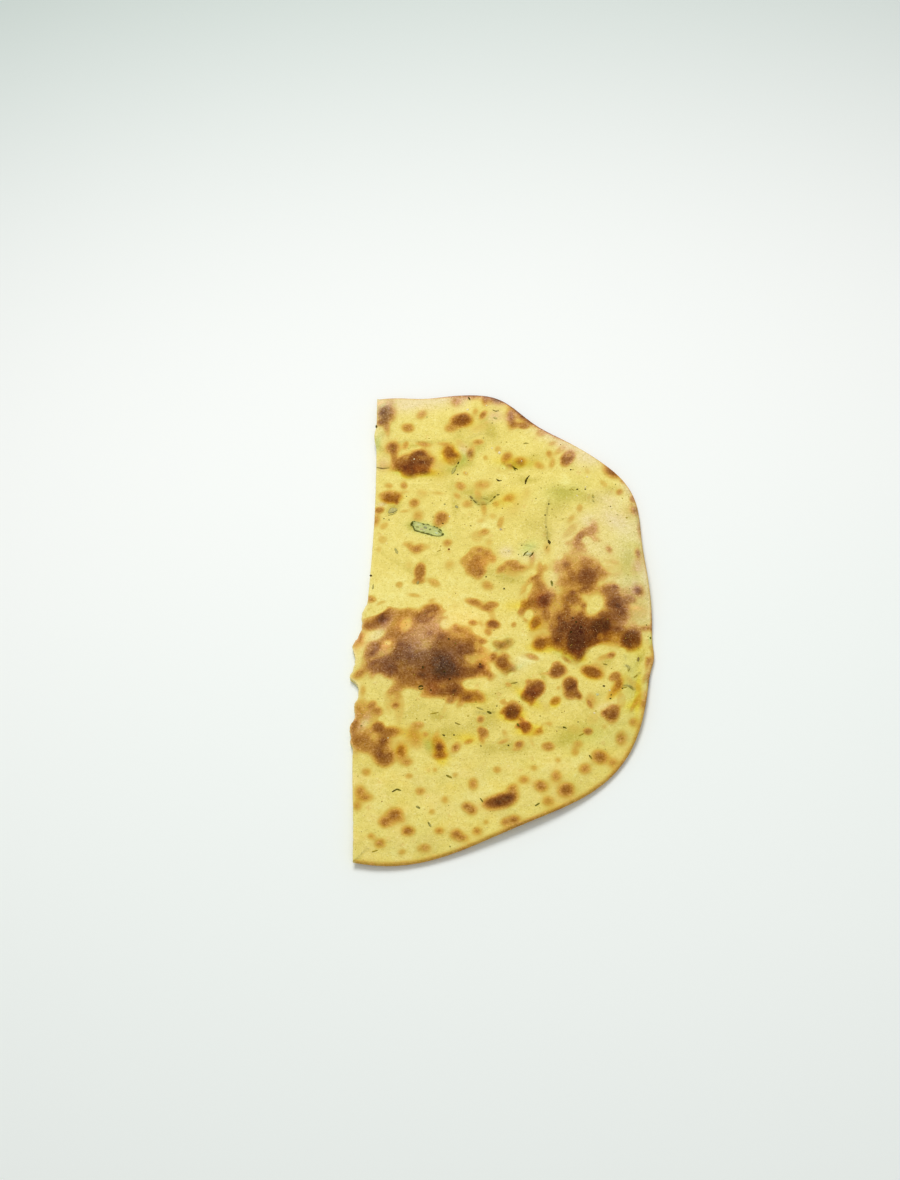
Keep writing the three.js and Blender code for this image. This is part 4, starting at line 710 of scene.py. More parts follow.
def zipper(ax, ay, a_ids, bx, by, b_ids):
    """Triangles between an outer ring a and an inner ring b, both anticlockwise."""
    na, nb = len(a_ids), len(b_ids)
    i = 0
    j = int(np.argmin((bx - ax[0]) ** 2 + (by - ay[0]) ** 2))
    out = []
    ca = cb = 0
    while ca < na or cb < nb:
        i1, j1 = (i + 1) % na, (j + 1) % nb
        da = (ax[i1] - bx[j]) ** 2 + (ay[i1] - by[j]) ** 2
        db = (ax[i] - bx[j1]) ** 2 + (ay[i] - by[j1]) ** 2
        if cb >= nb or (ca < na and da <= db):
            out.append((a_ids[i], a_ids[i1], b_ids[j]))
            i, ca = i1, ca + 1
        else:
            out.append((a_ids[i], b_ids[j1], b_ids[j]))
            j, cb = j1, cb + 1
    return np.array(out)


# edge profile from the face to the foot: how far in, and how high (0..1),
# for the rolled rim and for the knife cut
PROFILE = [
    ((0.95, 1.00), (0.34, 1.000)),
    ((0.60, 0.97), (0.13, 0.985)),
    ((0.30, 0.88), (0.02, 0.925)),
    ((0.09, 0.71), (0.00, 0.79)),
    ((0.00, 0.50), (0.00, 0.61)),
    ((0.07, 0.29), (0.00, 0.42)),
    ((0.26, 0.12), (0.01, 0.23)),
    ((0.55, 0.03), (0.06, 0.07)),
    ((0.90, 0.00), (0.24, 0.000)),
]

M = len(OX2)
ring_xyz, ring_fields = [], []
edge_top_d = None
OTHICK_EDGE = RIM + (CUT_EDGE - RIM) * OCUT_S
OLIFT = lift(OX2, OY2)
for k, ((ri, rh), (ci, ch)) in enumerate(PROFILE):
    e = ri + (ci - ri) * OCUT_S
    hgt = rh + (ch - rh) * OCUT_S
    # crumb: the cut face isn't smooth, it has small pits and torn steps
    mid = OCUT_S * (1 if 1 < k < 7 else 0.3 if k in (1, 7) else 0)
    zz = hgt * 2.5
    crumb = 0.10 * np.abs(N2(OY / 0.9 + 31 * 0, zz * 1.3)) + 0.16 * smooth(N3(OY / 1.6, zz * 0.9 + 5) - 0.1) + OTORN * (0.38 * np.abs(N4(OY / 2.2, zz * 0.7 + 9)) + 0.18 * np.abs(N5(OY / 0.8, zz + 3)))
    e = e + mid * crumb
    x, y = OX2 - NX * e, OY2 - NY * e
    if k == 0:
        d0, c0 = e, OCUT_S
        ring_top, top_fields = face(x, y, d0, c0)
    floor = lift(x, y)
    z = floor + (ring_top - floor) * hgt
    ring_xyz.append((x, y, z))

# fields on the edge rings
foot = foot_fields(OX2, OY2, np.zeros(M), OCUT_S)
for k, (x, y, z) in enumerate(ring_xyz):
    f = k / (len(PROFILE) - 1)
    # rim line on the edge rings: browning, with a darker stretch along the top edge that is painted shade
    rim_brown_and_painted_shade = (1 - OCUT_S) * (0.05 + 0.12 * smooth(N6.layered(OX, OY, 13, 2) + 0.2) + 0.16 * smooth((OY - 70) / 12) + 0.50 * smooth((OY - 64) / 10) * smooth((OX - 8) / 12) * smooth((70 - OX) / 14) + 0.10 * smooth((-40 - OY) / 20)) * math.sin(math.pi * min(1, f * 1.15)) ** 0.8
    inner = smooth((f - 0.10) / 0.16) * smooth((0.92 - f) / 0.12)      # crumb shows between the two skins
    crumb = OCUT_S * inner
    ring = {key: (top_fields[key] * (1 - f) + foot[key] * f) for key in foot}
    ring["brown"] = 1 - (1 - ring["brown"]) * (1 - rim_brown_and_painted_shade)
    ring = {key: val * (1 - crumb) for key, val in ring.items()}
    ring["crumb"] = crumb
    ring_fields.append(ring)

rx0, ry0 = ring_xyz[0][0], ring_xyz[0][1]
gx, gy, gq, gloop = grid_patch(STEP, rx0, ry0, 0.34)
gd, gc = edge_distance(gx, gy)
gz, grid_fields = face(gx, gy, gd, gc)

rxl, ryl = ring_xyz[-1][0], ring_xyz[-1][1]
FH = 1.08
bx, by, bq, bloop = grid_patch(FH, rxl, ryl, 0.7)
bd, bc = edge_distance(bx, by)
base_fields = foot_fields(bx, by, bd, bc)
pits = smooth(bd / 3) * (0.05 + 0.05 * N5.layered(bx, by, 8.0, 2) + 0.10 * smooth(N6.layered(bx, by, 5.0, 2) - 0.1))
bz = lift(bx, by) + np.clip(pits, 0, None) * (1 - 0.8 * smooth(base_fields["brown"] / 0.6))

parts_x = [gx] + [r[0] for r in ring_xyz] + [bx]
parts_y = [gy] + [r[1] for r in ring_xyz] + [by]
parts_z = [gz] + [r[2] for r in ring_xyz] + [bz]
nG, nB = len(gx), len(bx)
start = [nG + k * M for k in range(len(PROFILE))]
foot0 = nG + len(PROFILE) * M
faces3 = []
faces4 = [gq]
a_ids = np.arange(M) + start[0]
faces3.append(zipper(rx0, ry0, a_ids, gx[gloop], gy[gloop], gloop))
for k in range(len(PROFILE) - 1):
    a, b = np.arange(M) + start[k], np.arange(M) + start[k + 1]
    faces4.append(np.stack([a, b, np.roll(b, -1), np.roll(a, -1)], 1))
# the foot is seen from below, so its faces turn the other way
z3 = zipper(rxl, ryl, np.arange(M) + start[-1], bx[bloop], by[bloop], bloop + foot0)
faces3.append(z3[:, ::-1])
faces4.append((bq + foot0)[:, ::-1])

VX, VY, VZ = np.concatenate(parts_x), np.concatenate(parts_y), np.concatenate(parts_z)
VZ = np.clip(VZ, 0, CAD_HI[2] / MM)
grid_fields["crumb"], base_fields["crumb"] = np.zeros(nG), np.zeros(nB)
FIELDS = {key: np.concatenate([grid_fields[key]] + [r[key] for r in ring_fields] + [base_fields[key]]) for key in grid_fields}


def to_part(x, y, z):
    return np.stack([(x + SHIFT[0]) * MM, (y + SHIFT[1]) * MM, z * MM], 1)


def build_mesh(name, co, quads=None, tris=None, fields=None, smooth_shade=True):
    me = bpy.data.meshes.new(name)
    quads = np.zeros((0, 4), int) if quads is None or len(quads) == 0 else np.asarray(quads, int)
    tris = np.zeros((0, 3), int) if tris is None or len(tris) == 0 else np.asarray(tris, int)
    me.vertices.add(len(co))
    me.vertices.foreach_set("co", np.ascontiguousarray(co, dtype=np.float32).ravel())
    loops = np.concatenate([quads.ravel(), tris.ravel()]).astype(np.int32)
    starts = np.concatenate([np.arange(len(quads)) * 4, len(quads) * 4 + np.arange(len(tris)) * 3]).astype(np.int32)
    me.loops.add(len(loops))
    me.loops.foreach_set("vertex_index", loops)
    me.polygons.add(len(starts))
    me.polygons.foreach_set("loop_start", starts)
    me.update(calc_edges=True)
    me.polygons.foreach_set("use_smooth", np.full(len(starts), smooth_shade))
    for key, val in (fields or {}).items():
        at = me.attributes.new(key, "FLOAT", "POINT")
        at.data.foreach_set("value", np.ascontiguousarray(val, dtype=np.float32))
    me.validate()
    ob = bpy.data.objects.new(name, me)
    bpy.context.scene.collection.objects.link(ob)
    return ob


bread = build_mesh("roti_bread", to_part(VX, VY, VZ), np.concatenate(faces4), np.concatenate(faces3), FIELDS)

# --------------------------------------------------------------------------
# Materials
# --------------------------------------------------------------------------
def lin(r, g, b):
    def one(c):
        c /= 255.0
        return c / 12.92 if c <= 0.04045 else ((c + 0.055) / 1.055) ** 2.4
    return (one(r), one(g), one(b), 1.0)


class Tree:
    """Short ways to add shader nodes."""

    def __init__(self, name):
        self.mat = bpy.data.materials.new(name)
        self.mat.use_nodes = True
        self.t = self.mat.node_tree
        self.t.nodes.clear()
        self.out = self.t.nodes.new("ShaderNodeOutputMaterial")
        self.bsdf = self.t.nodes.new("ShaderNodeBsdfPrincipled")
        self.t.links.new(self.bsdf.outputs[0], self.out.inputs[0])
        self.coord = self.t.nodes.new("ShaderNodeTexCoord")

    def link(self, a, b):
        self.t.links.new(a, b)

    def put(self, socket, v):
        if hasattr(v, "links") or isinstance(v, bpy.types.NodeSocket):
            self.link(v, socket)
        else:
            socket.default_value = v

    def field(self, name):
        n = self.t.nodes.new("ShaderNodeAttribute")
        n.attribute_name = name
        return n.outputs["Fac"]

    def noise(self, size_mm, detail=2.0, rough=0.5, distort=0.0):
        n = self.t.nodes.new("ShaderNodeTexNoise")
        self.link(self.coord.outputs["Object"], n.inputs["Vector"])
        n.inputs["Scale"].default_value = 1000.0 / size_mm
        n.inputs["Detail"].default_value = detail
        n.inputs["Roughness"].default_value = rough
        n.inputs["Distortion"].default_value = distort
        return n.outputs["Fac"]

    def cells(self, size_mm, feature="F1", rand=1.0):
        n = self.t.nodes.new("ShaderNodeTexVoronoi")
        n.feature = feature
        self.link(self.coord.outputs["Object"], n.inputs["Vector"])
        n.inputs["Scale"].default_value = 1000.0 / size_mm
        n.inputs["Randomness"].default_value = rand
        return n.outputs["Distance"]

    def math(self, op, a, b=0.0, clamp=False):
        n = self.t.nodes.new("ShaderNodeMath")
        n.operation = op
        n.use_clamp = clamp
        self.put(n.inputs[0], a)
        self.put(n.inputs[1], b)
        return n.outputs[0]

    def span(self, v, a, b, c=0.0, d=1.0, kind="SMOOTHSTEP"):
        n = self.t.nodes.new("ShaderNodeMapRange")
        n.interpolation_type = kind
        self.put(n.inputs["Value"], v)
        n.inputs["From Min"].default_value = a
        n.inputs["From Max"].default_value = b
        n.inputs["To Min"].default_value = c
        n.inputs["To Max"].default_value = d
        return n.outputs["Result"]

    def mix(self, f, a, b, blend="MIX"):
        n = self.t.nodes.new("ShaderNodeMix")
        n.data_type = "RGBA"
        n.blend_type = blend
        n.clamp_factor = True
        self.put(n.inputs[0], f)
        self.put(n.inputs[6], a)
        self.put(n.inputs[7], b)
        return n.outputs[2]

    def ramp(self, v, stops):
        n = self.t.nodes.new("ShaderNodeValToRGB")
        e = n.color_ramp.elements
        while len(e) > 1:
            e.remove(e[-1])
        for k, (p, c) in enumerate(stops):
            q = e[0] if k == 0 else e.new(p)
            q.position = p
            q.color = c
        self.put(n.inputs["Fac"], v)
        return n.outputs["Color"]

    def gamma(self, colour, power):
        n = self.t.nodes.new("ShaderNodeGamma")
        n.inputs["Gamma"].default_value = power
        self.put(n.inputs["Color"], colour)
        return n.outputs[0]

    def bump(self, height, dist_mm, strength=1.0, normal=None):
        n = self.t.nodes.new("ShaderNodeBump")
        n.inputs["Strength"].default_value = strength
        n.inputs["Distance"].default_value = dist_mm * MM
        self.link(height, n.inputs["Height"])
        if normal is not None:
            self.link(normal, n.inputs["Normal"])
        return n.outputs["Normal"]


# from dough to scorched, by how brown a place is
TONES = [
    (0.00, lin(229, 210, 112)), (0.10, lin(222, 194, 95)), (0.21, lin(216, 178, 80)), (0.335, lin(206, 158, 68)), (0.46, lin(190, 137, 57)),
    (0.59, lin(171, 117, 44)), (0.715, lin(150, 97, 35)), (0.84, lin(130, 76, 24)), (0.97, lin(93, 51, 13)), (1.0, lin(84, 45, 11)),
]
# the same under a floury veil, which is partly flour and partly a painted sheen
FLOUR_VEIL_AND_SHEEN_TONES = [
    (0.00, lin(236, 217, 162)), (0.10, lin(230, 203, 146)), (0.21, lin(222, 186, 132)), (0.335, lin(212, 166, 120)), (0.46, lin(197, 147, 108)),
    (0.59, lin(177, 128, 98)), (0.715, lin(156, 109, 86)), (0.84, lin(134, 92, 74)), (0.97, lin(104, 74, 62)), (1.0, lin(98, 70, 60)),
]


def bread_material():
    s = Tree("roti_dough")
    brown, tone, shade, red, green, crumb = (s.field(n) for n in ("brown", "tone", "shade", "red", "green", "crumb"))
    grain = s.noise(0.55, 3, 0.6)
    fine = s.noise(1.1, 3, 0.55)
    blot = s.noise(1.9, 2, 0.5, 0.4)
    mid = s.noise(3.6, 3, 0.55, 0.3)
    # dough: gram-flour yellow, mottled lighter and deeper; the shade field adds painted shade and highlight of the
    # relief to the dough's own tone
    uneven = s.math("ADD", s.span(mid, 0.3, 0.7, -0.10, 0.10, "LINEAR"), s.span(blot, 0.3, 0.7, -0.16, 0.16, "LINEAR"))
    uneven = s.math("ADD", uneven, s.span(fine, 0.3, 0.7, -0.10, 0.10, "LINEAR"))
    light = s.math("ADD", shade, uneven)
    dough = s.mix(s.span(light, 0.0, 1.0, 0.0, 1.0, "LINEAR"), lin(236, 217, 119), lin(253, 246, 162))
    dough = s.mix(s.span(light, 0.0, -1.0, 0.0, 1.0, "LINEAR"), dough, lin(206, 187, 84))
    # small faint orange freckles, in some of the cells only
    c = s.t.nodes.new("ShaderNodeTexVoronoi")
    s.link(s.coord.outputs["Object"], c.inputs["Vector"])
    c.inputs["Scale"].default_value = 1000.0 / 4.2
    pick = s.t.nodes.new("ShaderNodeSeparateColor")
    s.link(c.outputs["Color"], pick.inputs[0])
    far = s.math("ADD", c.outputs["Distance"], s.span(fine, 0.3, 0.7, -0.10, 0.10, "LINEAR"))
    freckle = s.math("MULTIPLY", s.span(far, 0.30, 0.10), s.span(pick.outputs[0], 0.66, 0.84, 0.0, 0.30))
    dough = s.mix(freckle, dough, lin(222, 172, 92))
    # grains of flour and bran
    dough = s.mix(s.span(grain, 0.57, 0.72, 0.0, 0.38), dough, lin(250, 240, 188))
    dough = s.mix(s.span(grain, 0.42, 0.28, 0.0, 0.46), dough, lin(184, 162, 62))
    # browning
    uneven = s.math("ADD", s.span(fine, 0.25, 0.75, -0.05, 0.05, "LINEAR"), s.span(blot, 0.3, 0.7, -0.045, 0.045, "LINEAR"))
    uneven = s.math("ADD", uneven, s.span(grain, 0.25, 0.75, -0.05, 0.05, "LINEAR"))
    uneven = s.math("MULTIPLY", uneven, s.span(brown, 0.02, 0.30))
    b = s.math("ADD", brown, uneven)
    skin = s.mix(s.span(b, 0.02, 0.20), dough, s.ramp(b, TONES))
    skin = s.mix(s.span(tone, 0.0, -0.5, 0.0, 1.0, "LINEAR"), skin, lin(255, 246, 165), "MULTIPLY")
    # tone above 0 lays on the floury veil: partly flour, partly a painted sheen over the browned places
    flour_veil_and_sheen = s.math("MULTIPLY", s.span(tone, 0.0, 1.0, 0.0, 1.0, "LINEAR"), s.span(fine, 0.30, 0.70, 0.75, 1.25, "LINEAR"), True)
    skin = s.mix(flour_veil_and_sheen, skin, s.ramp(b, FLOUR_VEIL_AND_SHEEN_TONES))
    skin = s.mix(s.span(red, 0.0, 1.0, 0.0, 1.0, "LINEAR"), skin, (1.24, 1.0, 1.0, 1.0), "MULTIPLY")
    skin = s.mix(s.span(red, 0.0, -1.0, 0.0, 1.0, "LINEAR"), skin, (0.83, 1.0, 1.0, 1.0), "MULTIPLY")
    # fine light and dark grain, the same step in red, green and blue: it is taken
    # on the colour's brightness as the eye has it, strongest on the browned places
    rough = s.math("ADD", s.span(grain, 0.25, 0.75, -0.09, 0.09, "LINEAR"), s.span(fine, 0.25, 0.75, -0.085, 0.085, "LINEAR"))
    rough = s.math("ADD", rough, s.math("MULTIPLY", s.span(s.noise(0.8, 2, 0.5), 0.59, 0.73, -0.006, 0.13), s.span(tone, -0.1, 0.4, 0.7, 1.1)))
    rough = s.math("MULTIPLY", rough, s.math("ADD", s.span(b, 0.10, 0.45, 0.16, 1.0), s.span(tone, 0.1, 0.6, 0.0, 0.25), True))
    step = s.t.nodes.new("ShaderNodeCombineXYZ")
    for k in range(3):
        s.link(rough, step.inputs[k])
    skin = s.gamma(s.mix(s.span(b, 0.0, 0.05, 0.9, 1.0), s.gamma(skin, 1 / 2.2), step.outputs[0], "ADD"), 2.2)
    skin = s.mix(green, skin, lin(124, 114, 54))
    # the crumb at the cut
    inner = s.mix(s.span(mid, 0.35, 0.65), lin(232, 214, 128), lin(243, 230, 164))
    inner = s.mix(s.span(fine, 0.44, 0.30, 0.0, 0.7), inner, lin(196, 168, 84))
    colour = s.mix(crumb, skin, inner)
    s.link(colour, s.bsdf.inputs["Base Color"])
    s.link(s.math("ADD", s.span(b, 0.2, 0.8, 0.68, 0.50), s.span(fine, 0.3, 0.7, -0.05, 0.05)), s.bsdf.inputs["Roughness"])
    s.bsdf.inputs["Specular IOR Level"].default_value = 0.07
    # surface: fine grain, small pits, wrinkles on the browned places
    h1 = s.bump(s.math("ADD", grain, s.math("MULTIPLY", fine, 1.3)), 0.20, 0.9)
    h2 = s.bump(s.span(s.cells(2.1), 0.05, 0.5, 0.0, 1.0), 0.08, 0.5, h1)
    h3 = s.bump(blot, 0.35, 0.6, h2)
    s.link(h3, s.bsdf.inputs["Normal"])
    return s.mat


bread.data.materials.append(bread_material())
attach(bread, "root")
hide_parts("roti_half")

# --------------------------------------------------------------------------
# What the dough has in it: a slice of green chilli, shreds of leaf, specks of
# spice and grains of flour, each kind one mesh at its true size on the face
# --------------------------------------------------------------------------
GI, GJ = np.round((gx - gx.min()) / STEP).astype(int), np.round((gy - gy.min()) / STEP).astype(int)
HEIGHT = np.full((GI.max() + 9, GJ.max() + 9), np.nan)
HEIGHT[GI + 4, GJ + 4] = gz
for _ in range(10):                     # carried outwards past the edge of the grid
    pad = np.pad(HEIGHT, 1, constant_values=np.nan)
    near = np.stack([pad[:-2, 1:-1], pad[2:, 1:-1], pad[1:-1, :-2], pad[1:-1, 2:]])
    known = ~np.isnan(near)
    mean = np.where(known, near, 0).sum(0) / np.maximum(known.sum(0), 1)
    fill = np.isnan(HEIGHT) & known.any(0)
    HEIGHT[fill] = mean[fill]
HEIGHT[np.isnan(HEIGHT)] = 2.5


def face_z(x, y):
    """Height of the finished face."""
    a = np.clip((np.atleast_1d(np.asarray(x, float)) - gx.min()) / STEP + 4, 0, HEIGHT.shape[0] - 1.001)
    b = np.clip((np.atleast_1d(np.asarray(y, float)) - gy.min()) / STEP + 4, 0, HEIGHT.shape[1] - 1.001)
    i, j = a.astype(int), b.astype(int)
    a, b = a - i, b - j
    return (HEIGHT[i, j] * (1 - a) + HEIGHT[i + 1, j] * a) * (1 - b) + (HEIGHT[i, j + 1] * (1 - a) + HEIGHT[i + 1, j + 1] * a) * b


def on_face(px, py):
    """The point of the face seen at a pixel."""
    px, py = np.atleast_1d(np.asarray(px, float)), np.atleast_1d(np.asarray(py, float))
    z = np.full(px.shape, 3.2)
    for _ in range(5):
        x, y = from_px(px, py, z)
        z = face_z(x, y)
    return x, y, z


class Pile:
    """Vertices, faces and colours of many small bodies in one mesh."""

    def __init__(self):
        self.co, self.tri, self.tint, self.n = [], [], [], 0

    def add(self, co, tri, tint):
        co = np.asarray(co, float)
        tint = np.asarray(tint, float)
        self.co.append(co)
        self.tri.append(np.asarray(tri, int) + self.n)
        self.tint.append(np.broadcast_to(tint, (len(co), 3)))
        self.n += len(co)

    def mesh(self, name, material):
        co = np.concatenate(self.co)
        ob = build_mesh(name, to_part(co[:, 0], co[:, 1], co[:, 2]), None, np.concatenate(self.tri))
        at = ob.data.color_attributes.new("tint", "FLOAT_COLOR", "POINT")
        rgba = np.ones((len(co), 4), np.float32)
        rgba[:, :3] = np.concatenate(self.tint)
        at.data.foreach_set("color", rgba.ravel())
        ob.data.materials.append(material)
        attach(ob, "root")
        return ob


def ico(times):
    p = (1 + 5 ** 0.5) / 2
    v = [(-1, p, 0), (1, p, 0), (-1, -p, 0), (1, -p, 0), (0, -1, p), (0, 1, p), (0, -1, -p), (0, 1, -p), (p, 0, -1), (p, 0, 1), (-p, 0, -1), (-p, 0, 1)]
    f = [(0, 11, 5), (0, 5, 1), (0, 1, 7), (0, 7, 10), (0, 10, 11), (1, 5, 9), (5, 11, 4), (11, 10, 2), (10, 7, 6), (7, 1, 8),
         (3, 9, 4), (3, 4, 2), (3, 2, 6), (3, 6, 8), (3, 8, 9), (4, 9, 5), (2, 4, 11), (6, 2, 10), (8, 6, 7), (9, 8, 1)]
    v = [np.array(q) / np.linalg.norm(q) for q in v]
    for _ in range(times):
        mid, g = {}, []

        def half(i, j):
            key = (min(i, j), max(i, j))
            if key not in mid:
                q = v[i] + v[j]
                v.append(q / np.linalg.norm(q))
                mid[key] = len(v) - 1
            return mid[key]

        for i, j, k in f:
            a, b, c = half(i, j), half(j, k), half(k, i)
            g += [(i, a, c), (j, b, a), (k, c, b), (a, b, c)]
        f = g
    return np.array(v), np.array(f)


ICO0, ICO1, ICO2 = ico(0), ico(1), ico(2)


def tint(r, g, b):
    return np.array(lin(r, g, b)[:3])


def blob(pile, x, y, z, long, wide, high, turn, colour, rng, shape=ICO1, rough=0.18, sink=0.35):
    """An uneven grain lying on the face at x, y, z; sizes are full sizes in mm."""
    v, f = shape
    k = 1 + rough * (rng.rand(len(v)) - 0.5) * 2
    c, s_ = math.cos(turn), math.sin(turn)
    a, b, h = v[:, 0] * k * long / 2, v[:, 1] * k * wide / 2, v[:, 2] * k * high / 2
    co = np.stack([x + a * c - b * s_, y + a * s_ + b * c, z + h + high * (0.5 - sink)], 1)
    shade = 1 + 0.25 * (rng.rand(len(v), 1) - 0.5)
    pile.add(co, f, colour[None, :] * shade)


def strip(pile, pixels, width_px, colour, high=0.16, seed=1, taper=0.35):
    """A shred of leaf along pixels, following the face; colour is one or a list along it."""
    rng = np.random.RandomState(seed)
    p = np.array(pixels, float)
    seg = np.concatenate([[0], np.cumsum(np.hypot(*np.diff(p, axis=0).T))])
    n = max(4, int(seg[-1] * 0.38 / 0.28))
    t = np.linspace(0, seg[-1], n)
    qx, qy = np.interp(t, seg, p[:, 0]), np.interp(t, seg, p[:, 1])
    if len(p) > 2:
        for _ in range(3):
            qx[1:-1], qy[1:-1] = (qx[:-2] + 2 * qx[1:-1] + qx[2:]) / 4, (qy[:-2] + 2 * qy[1:-1] + qy[2:]) / 4
    x, y, _ = on_face(qx, qy)
    tx, ty = np.gradient(x), np.gradient(y)
    l = np.hypot(tx, ty)
    nx, ny = -ty / l, tx / l
    u = np.linspace(-1, 1, n)
    w = np.interp(t / seg[-1], np.linspace(0, 1, len(np.atleast_1d(width_px))), np.atleast_1d(width_px)) * 0.38
    w = w * np.maximum(1 - np.abs(u) ** 3 * (1 - taper), 0.1) * (0.8 + 0.4 * rng.rand(n))
    side = np.array([-1, -0.45, 0.1, 0.5, 1.0, 0.5, -0.5])
    lift_ = np.array([0.02, 0.75, 1.0, 0.7, 0.02, -0.5, -0.5]) * high
    m = len(side)
    X = x[:, None] + nx[:, None] * side * w[:, None] / 2
    Y = y[:, None] + ny[:, None] * side * w[:, None] / 2
    Z = face_z(X.ravel(), Y.ravel()).reshape(X.shape) + lift_ * (0.7 + 0.6 * rng.rand(n, 1))
    co = np.stack([X, Y, Z], 2).reshape(-1, 3)
    tri = []
    for i in range(n - 1):
        for j in range(m):
            a, b = i * m + j, i * m + (j + 1) % m
            c, e = a + m, b + m
            tri += [(a, b, e), (a, e, c)]
    for base, flip in ((0, True), ((n - 1) * m, False)):
        for j in range(1, m - 1):
            q = (base, base + j, base + j + 1)
            tri.append(q[::-1] if flip else q)
    tri = np.array(tri)
    colour = np.atleast_2d(colour)
    k = np.linspace(0, 1, n)
    along = np.stack([np.interp(k, np.linspace(0, 1, len(colour)), colour[:, j]) for j in range(3)], 1)
    shade = 1 + 0.35 * (rng.rand(n, m, 1) - 0.5)
    cc = (along[:, None, :] * shade).reshape(-1, 3)
    # the ring may run either way round: make the faces look outwards
    ctr = co.mean(0)
    v0, v1, v2 = co[tri[:, 0]], co[tri[:, 1]], co[tri[:, 2]]
    vol = np.einsum("ij,ij->i", v0 - ctr, np.cross(v1 - v0, v2 - v0)).sum()
    pile.add(co, tri if vol > 0 else tri[:, ::-1], cc)


DARK, GREEN, OLIVE_C, GREY, PURPLE = tint(74, 64, 4), tint(108, 106, 18), tint(176, 154, 46), tint(188, 178, 104), tint(140, 112, 66)
BLACK, RUST, WHITE, MINT, GREY_DARK = tint(46, 26, 2), tint(138, 74, 30), tint(240, 226, 180), tint(208, 206, 146), tint(144, 132, 62)


def leaf_material(name, rough, spec, bump_mm):
    s = Tree(name)
    n = s.t.nodes.new("ShaderNodeAttribute")
    n.attribute_name = "tint"
    colour = s.mix(s.span(s.noise(0.5, 2), 0.35, 0.65, 0.0, 0.18), n.outputs["Color"], lin(170, 150, 60))
    s.link(colour, s.bsdf.inputs["Base Color"])
    s.bsdf.inputs["Roughness"].default_value = rough
    s.bsdf.inputs["Specular IOR Level"].default_value = spec
    s.link(s.bump(s.noise(0.3, 2), bump_mm, 0.6), s.bsdf.inputs["Normal"])
    return s.mat


